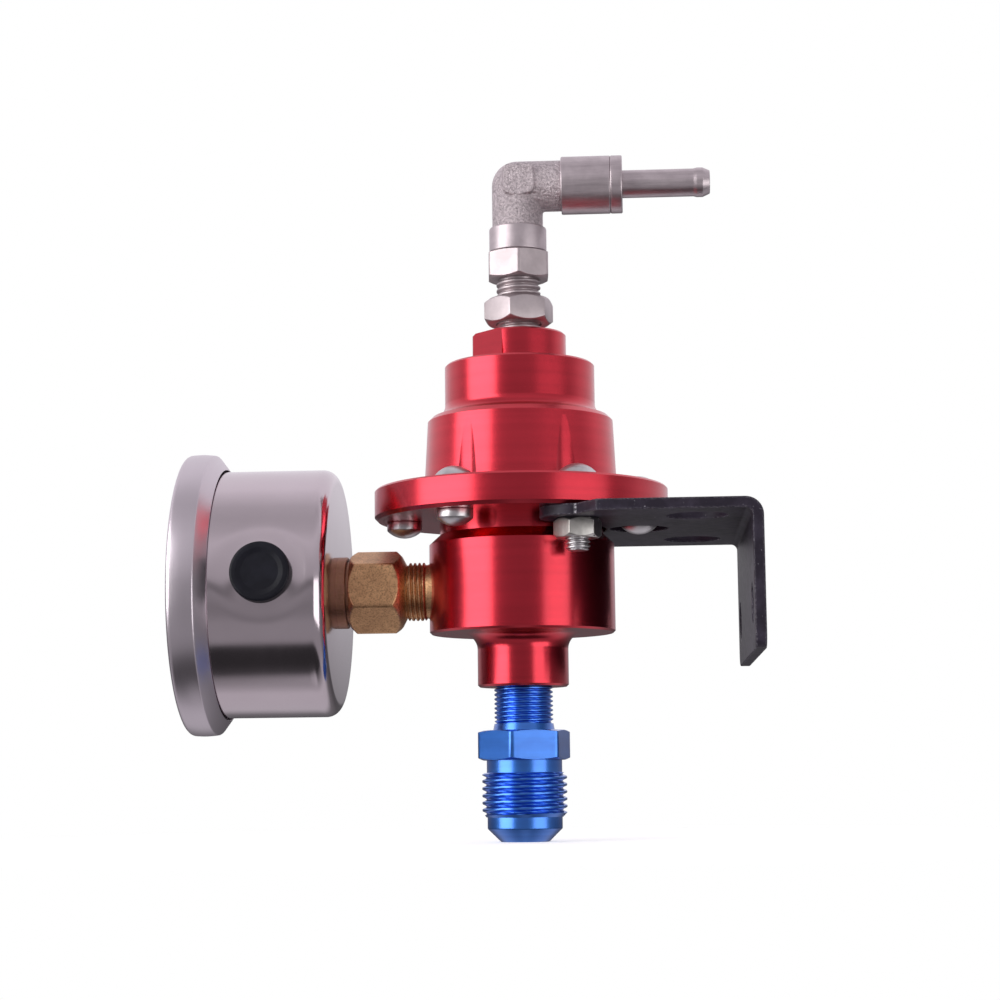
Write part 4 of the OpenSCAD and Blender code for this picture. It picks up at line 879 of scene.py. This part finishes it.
def arc(x, y, radius, first, last, steps):
    turns = [math.radians(first + (last - first) * k / steps) for k in range(steps + 1)]
    return [(x + radius * math.cos(t), y + radius * math.sin(t)) for t in turns]


def circle(x, y, radius, steps=64):
    return arc(x, y, radius, 0.0, 360.0, steps)[:-1]


def folded(x, y, z):
    """The place of a point of the flat sheet, whose top lies at z = SHEET / 2, after the fold."""
    depth = SHEET / 2 - z
    turn = min(max((x - FOLD_X) / FOLD_R, 0.0), math.pi / 2)
    down = max(x - FOLD_X - FOLD_LEN, 0.0)
    return (min(x, FOLD_X) + (FOLD_R - depth) * math.sin(turn), y,
            SHEET_TOP - FOLD_R - down + (FOLD_R - depth) * math.cos(turn))


def bracket():
    ear_x, ear_y = SCREW_AT[1]
    leg_x = LEG_END - LEG_CORNER
    leg_y = HALF_W - LEG_CORNER
    shoulder_y = HALF_W - SHOULDER_R
    outline = arc(ear_x, -ear_y, EAR_R, EAR_FROM, 270.0, 24)
    outline += arc(SHOULDER_X, -shoulder_y, SHOULDER_R, 270.0 - SHOULDER_TURN, 270.0, 4)
    outline += arc(leg_x, -leg_y, LEG_CORNER, 270.0, 360.0, 12)
    outline += arc(leg_x, leg_y, LEG_CORNER, 0.0, 90.0, 12)
    outline += arc(SHOULDER_X, shoulder_y, SHOULDER_R, 90.0, 90.0 + SHOULDER_TURN, 4)
    outline += arc(ear_x, ear_y, EAR_R, 90.0, 360.0 - EAR_FROM, 24)
    outline += arc(0.0, 0.0, RELIEF_R, RELIEF_END, -RELIEF_END, 48)[1:-1]
    holes = [circle(*RIVET_HOLE)]
    for side in (-1, 1):
        for x, y, radius in ((ear_x, ear_y, EAR_HOLE_R), PLATE_HOLE, LEG_HOLE):
            holes.append(circle(x, side * y, radius))
    blank = bpy.data.curves.new("bracket_blank", "CURVE")
    blank.dimensions = "2D"
    blank.fill_mode = "BOTH"
    blank.extrude = SHEET / 2 - EASE
    blank.bevel_depth = EASE
    blank.bevel_resolution = 2
    blank.offset = -EASE
    for ring in [outline] + holes:
        spline = blank.splines.new("POLY")
        spline.points.add(len(ring) - 1)
        for point, (x, y) in zip(spline.points, ring):
            point.co = (x, y, 0.0, 1.0)
        spline.use_cyclic_u = True
    holder = bpy.data.objects.new("bracket_blank", blank)
    bpy.context.scene.collection.objects.link(holder)
    bpy.context.view_layer.update()
    skin = bmesh.new()
    skin.from_mesh(holder.to_mesh())
    holder.to_mesh_clear()
    bpy.data.objects.remove(holder)
    bpy.data.curves.remove(blank)
    bmesh.ops.remove_doubles(skin, verts=skin.verts, dist=WELD_REACH)
    for k in range(FOLD_CUTS + 1):
        cut = (FOLD_X + FOLD_LEN * k / FOLD_CUTS, 0.0, 0.0)
        bmesh.ops.bisect_plane(skin, geom=skin.verts[:] + skin.edges[:] + skin.faces[:], dist=0.0001,
                               plane_co=cut, plane_no=(1.0, 0.0, 0.0))
    skin.verts.index_update()
    vertices = [folded(*vert.co) for vert in skin.verts]
    faces = [tuple(vert.index for vert in face.verts) for face in skin.faces]
    skin.free()
    piece = finish_piece("bracket_folded", vertices, faces, PAINT, "housing", ["bracket"],
                         FLAT_SHADE)
    flat = piece.modifiers.new("flat", "WEIGHTED_NORMAL")
    flat.keep_sharp = True


# Print of the dial: a scale from 0 to 140 with plain numbers

SWEEP = 270.0
SCALE_END = 140
DIAL_TOP = -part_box("dial")[0][0] / MM - GAUGE_BACK
PRINT_LIFT = 0.02
TICK_STEP = 2
NUMBER_STEP = 20
LONG_TICK = (15.2, 0.22)
MIDDLE_TICK = (16.2, 0.15)
SHORT_TICK = (16.9, 0.09)
TICK_END = 17.8
SCALE_ARC_R = 18.05
SCALE_ARC_STEPS = 120
NUMBER_R = 12.6
NUMBER_SIZE = 3.0


def scale_angle(share):
    """Direction on the dial, in degrees, at a share of the scale."""
    return 90 + SWEEP / 2 - SWEEP * share


def tick_size(value):
    """Inner radius and half width of the mark at a value."""
    if value % NUMBER_STEP == 0:
        return LONG_TICK
    return MIDDLE_TICK if value % 10 == 0 else SHORT_TICK


def on_dial(radius, angle, side=0.0):
    a = math.radians(angle)
    x = radius * math.cos(a) - side * math.sin(a)
    y = radius * math.sin(a) + side * math.cos(a)
    return gauge_frame(x, y, DIAL_TOP + PRINT_LIFT)


def number_shape(value):
    """Points and faces of an upright number at its place on the scale."""
    curve = bpy.data.curves.new(f"number_{value}", "FONT")
    curve.body = str(value)
    curve.size = NUMBER_SIZE
    curve.align_x = "CENTER"
    curve.align_y = "CENTER"
    curve.resolution_u = 3
    holder = bpy.data.objects.new(f"number_{value}", curve)
    bpy.context.scene.collection.objects.link(holder)
    bpy.context.view_layer.update()
    shape = holder.to_mesh()
    angle = math.radians(scale_angle(value / SCALE_END))
    x, y = NUMBER_R * math.cos(angle), NUMBER_R * math.sin(angle)
    points = [gauge_frame(x + point.co.x, y + point.co.y, DIAL_TOP + PRINT_LIFT) for point in shape.vertices]
    sides = [tuple(side.vertices) for side in shape.polygons]
    holder.to_mesh_clear()
    bpy.data.objects.remove(holder)
    bpy.data.curves.remove(curve)
    return points, sides


def dial_print():
    shapes = []
    for value in range(0, SCALE_END + 1, TICK_STEP):
        angle = scale_angle(value / SCALE_END)
        inner, half = tick_size(value)
        corners = [on_dial(inner, angle, -half), on_dial(TICK_END, angle, -half),
                   on_dial(TICK_END, angle, half), on_dial(inner, angle, half)]
        shapes.append((corners, [(0, 1, 2, 3)]))
    edge = []
    for k in range(SCALE_ARC_STEPS + 1):
        angle = scale_angle(k / SCALE_ARC_STEPS)
        edge += [on_dial(TICK_END, angle), on_dial(SCALE_ARC_R, angle)]
    shapes.append((edge, [(2 * k, 2 * k + 1, 2 * k + 3, 2 * k + 2) for k in range(SCALE_ARC_STEPS)]))
    shapes += [number_shape(value) for value in range(0, SCALE_END + 1, NUMBER_STEP)]
    vertices, faces = joined(*shapes)
    finish_piece("dial_print", vertices, faces, INK, "housing")


outlet_fitting()
adjuster_stud()
gauge_socket()
gauge_case()
gauge_bezel()
gauge_plug()
swivel_elbow()
hose_nipple()
bracket_screws()
bracket()
dial_print()


# Studio

CAMERA_TARGET = Vector((-3.617, 0.0, 53.732)) * MM
CAMERA_AZIMUTH = math.radians(3.368)
CAMERA_RISE = math.radians(-7.196)
CAMERA_ROLL = math.radians(-0.658)
CAMERA_DISTANCE = 388.02 * MM
CAMERA_LENS = 81.71
SENSOR = 36.0


def make_camera():
    away = Vector((math.sin(CAMERA_AZIMUTH) * math.cos(CAMERA_RISE),
                   -math.cos(CAMERA_AZIMUTH) * math.cos(CAMERA_RISE), math.sin(CAMERA_RISE)))
    data = bpy.data.cameras.new("photo_camera")
    data.lens = CAMERA_LENS
    data.sensor_width = SENSOR
    data.clip_start = 0.01
    camera = bpy.data.objects.new("photo_camera", data)
    turn = away.to_track_quat("Z", "Y") @ Matrix.Rotation(CAMERA_ROLL, 3, "Z").to_quaternion()
    stand = CAMERA_TARGET + CAMERA_DISTANCE * away
    camera.matrix_world = Matrix.Translation(stand) @ turn.to_matrix().to_4x4()
    bpy.context.scene.collection.objects.link(camera)
    bpy.context.scene.camera = camera


LAMP_TARGET = Vector((0.0, 0.0, 55.0)) * MM


def softbox(name, azimuth, rise, distance, width, height, power):
    """An area lamp that faces the middle of the object; azimuth 0 is the camera's side, 90 the right."""
    a = math.radians(azimuth)
    e = math.radians(rise)
    away = Vector((math.sin(a) * math.cos(e), -math.cos(a) * math.cos(e), math.sin(e)))
    data = bpy.data.lights.new(name, "AREA")
    data.shape = "RECTANGLE"
    data.size = width
    data.size_y = height
    data.energy = power
    lamp = bpy.data.objects.new(name, data)
    turn = away.to_track_quat("Z", "Y").to_matrix().to_4x4()
    lamp.matrix_world = Matrix.Translation(LAMP_TARGET + distance * away) @ turn
    bpy.context.scene.collection.objects.link(lamp)


# Brightness of the room by the height of the direction, from 0 straight down to 1 straight up
FRONT_LEVELS = [(0.0, 0.5), (0.004, 0.35), (0.009, 0.06), (0.03, 0.035), (0.092, 0.035), (0.107, 0.07),
                (0.118, 0.26), (0.135, 0.36), (0.25, 0.35), (0.31, 0.28), (0.37, 0.26), (0.43, 0.3),
                (0.5, 0.33), (0.535, 0.19), (0.56, 0.2), (0.595, 0.5), (0.665, 0.52), (0.7575, 0.6),
                (0.84, 0.68), (0.91, 0.56), (0.9635, 0.52), (0.995, 0.58), (1.0, 0.62)]
BACK_LEVELS = [(0.0, 0.65), (0.18, 0.6), (0.28, 0.2), (0.42, 0.1), (0.49, 0.1), (0.53, 0.4), (0.57, 0.75),
               (0.62, 0.9), (1.0, 0.9)]
BACK_FROM = -0.12
BACK_FULL = 0.32
ROOM_TINT = (1.0, 0.965, 1.03)


def make_world():
    """White for the camera; reflections see a dim room in front and a bright wall behind the object."""
    world = bpy.data.worlds.new("studio")
    bpy.context.scene.world = world
    world.use_nodes = True
    tree = world.node_tree
    ground = tree.nodes["Background"]
    ground.inputs["Strength"].default_value = 1.0

    def node(kind):
        return tree.nodes.new(kind)

    def stretch(value, low, high):
        made = node("ShaderNodeMapRange")
        made.inputs["From Min"].default_value = low
        made.inputs["From Max"].default_value = high
        tree.links.new(value, made.inputs["Value"])
        return made.outputs[0]
    split = node("ShaderNodeSeparateXYZ")
    tree.links.new(node("ShaderNodeTexCoord").outputs["Generated"], split.inputs[0])
    rise = stretch(split.outputs["Z"], -1.0, 1.0)

    def levels(stops):
        made = node("ShaderNodeValToRGB")
        elements = made.color_ramp.elements
        while len(elements) < len(stops):
            elements.new(0.5)
        for element, (place, level) in zip(elements, stops):
            element.position = place
            element.color = (*(level * part for part in ROOM_TINT), 1.0)
        tree.links.new(rise, made.inputs[0])
        return made.outputs[0]
    room = node("ShaderNodeMix")
    room.data_type = "RGBA"
    colours = [socket for socket in room.inputs if socket.type == "RGBA"]
    tree.links.new(stretch(split.outputs["Y"], BACK_FROM, BACK_FULL), room.inputs["Factor"])
    tree.links.new(levels(FRONT_LEVELS), colours[0])
    tree.links.new(levels(BACK_LEVELS), colours[1])
    seen = node("ShaderNodeMix")
    seen.data_type = "RGBA"
    choices = [socket for socket in seen.inputs if socket.type == "RGBA"]
    paths = node("ShaderNodeLightPath")
    tree.links.new(paths.outputs["Is Camera Ray"], seen.inputs["Factor"])
    tree.links.new([socket for socket in room.outputs if socket.type == "RGBA"][0], choices[0])
    choices[1].default_value = (1.0, 1.0, 1.0, 1.0)
    tree.links.new([socket for socket in seen.outputs if socket.type == "RGBA"][0], ground.inputs["Color"])


FLOOR_RADIUS = 0.42
FLOOR_STEPS = 96
FLOOR_GLOW = 0.5
FADE_FROM = 0.03
FADE_TO = 0.13


def make_floor():
    """Pale round floor that keeps the object's shadow and fades out to the white ground."""
    mesh = bpy.data.meshes.new("floor")
    level = CAD_BOX[0][2]
    rim = [(x, y, level) for x, y in circle(0.0, 0.0, FLOOR_RADIUS, FLOOR_STEPS)]
    mesh.from_pydata(rim, [], [tuple(range(FLOOR_STEPS))])
    floor = bpy.data.objects.new("floor", mesh)
    bpy.context.scene.collection.objects.link(floor)
    floor.visible_glossy = False
    g = Graph("floor")
    x, y, _ = g.parts(g.place())
    far = g.math("SQRT", g.math("ADD", g.math("MULTIPLY", x, x), g.math("MULTIPLY", y, y)))
    grain = g.noise(g.place(), 60.0, 2.0)
    g.set(Base_Color=g.mix(grain, (0.86, 0.86, 0.86), (0.88, 0.88, 0.88)))
    g.set(Roughness=0.9, Specular_IOR_Level=0.1)
    paths = g.node("ShaderNodeLightPath")
    g.set(Emission_Color=(1.0, 1.0, 1.0, 1.0))
    g.set(Emission_Strength=g.math("MULTIPLY", paths.outputs["Is Camera Ray"], FLOOR_GLOW))
    fade = g.node("ShaderNodeMapRange", interpolation_type="SMOOTHSTEP")
    fade.inputs["From Min"].default_value = FADE_FROM
    fade.inputs["From Max"].default_value = FADE_TO
    fade.inputs["To Min"].default_value = 1.0
    fade.inputs["To Max"].default_value = 0.0
    g.put(fade.inputs["Value"], far)
    g.set(Alpha=fade.outputs[0])
    mesh.materials.append(g.material)


make_camera()
make_world()
make_floor()
softbox("left_softbox", -58.0, 12.0, 0.75, 0.66, 0.7, 4.6)
softbox("right_softbox", 50.0, -10.0, 0.75, 0.6, 0.46, 1.6)

bpy.context.scene.view_settings.view_transform = "Standard"
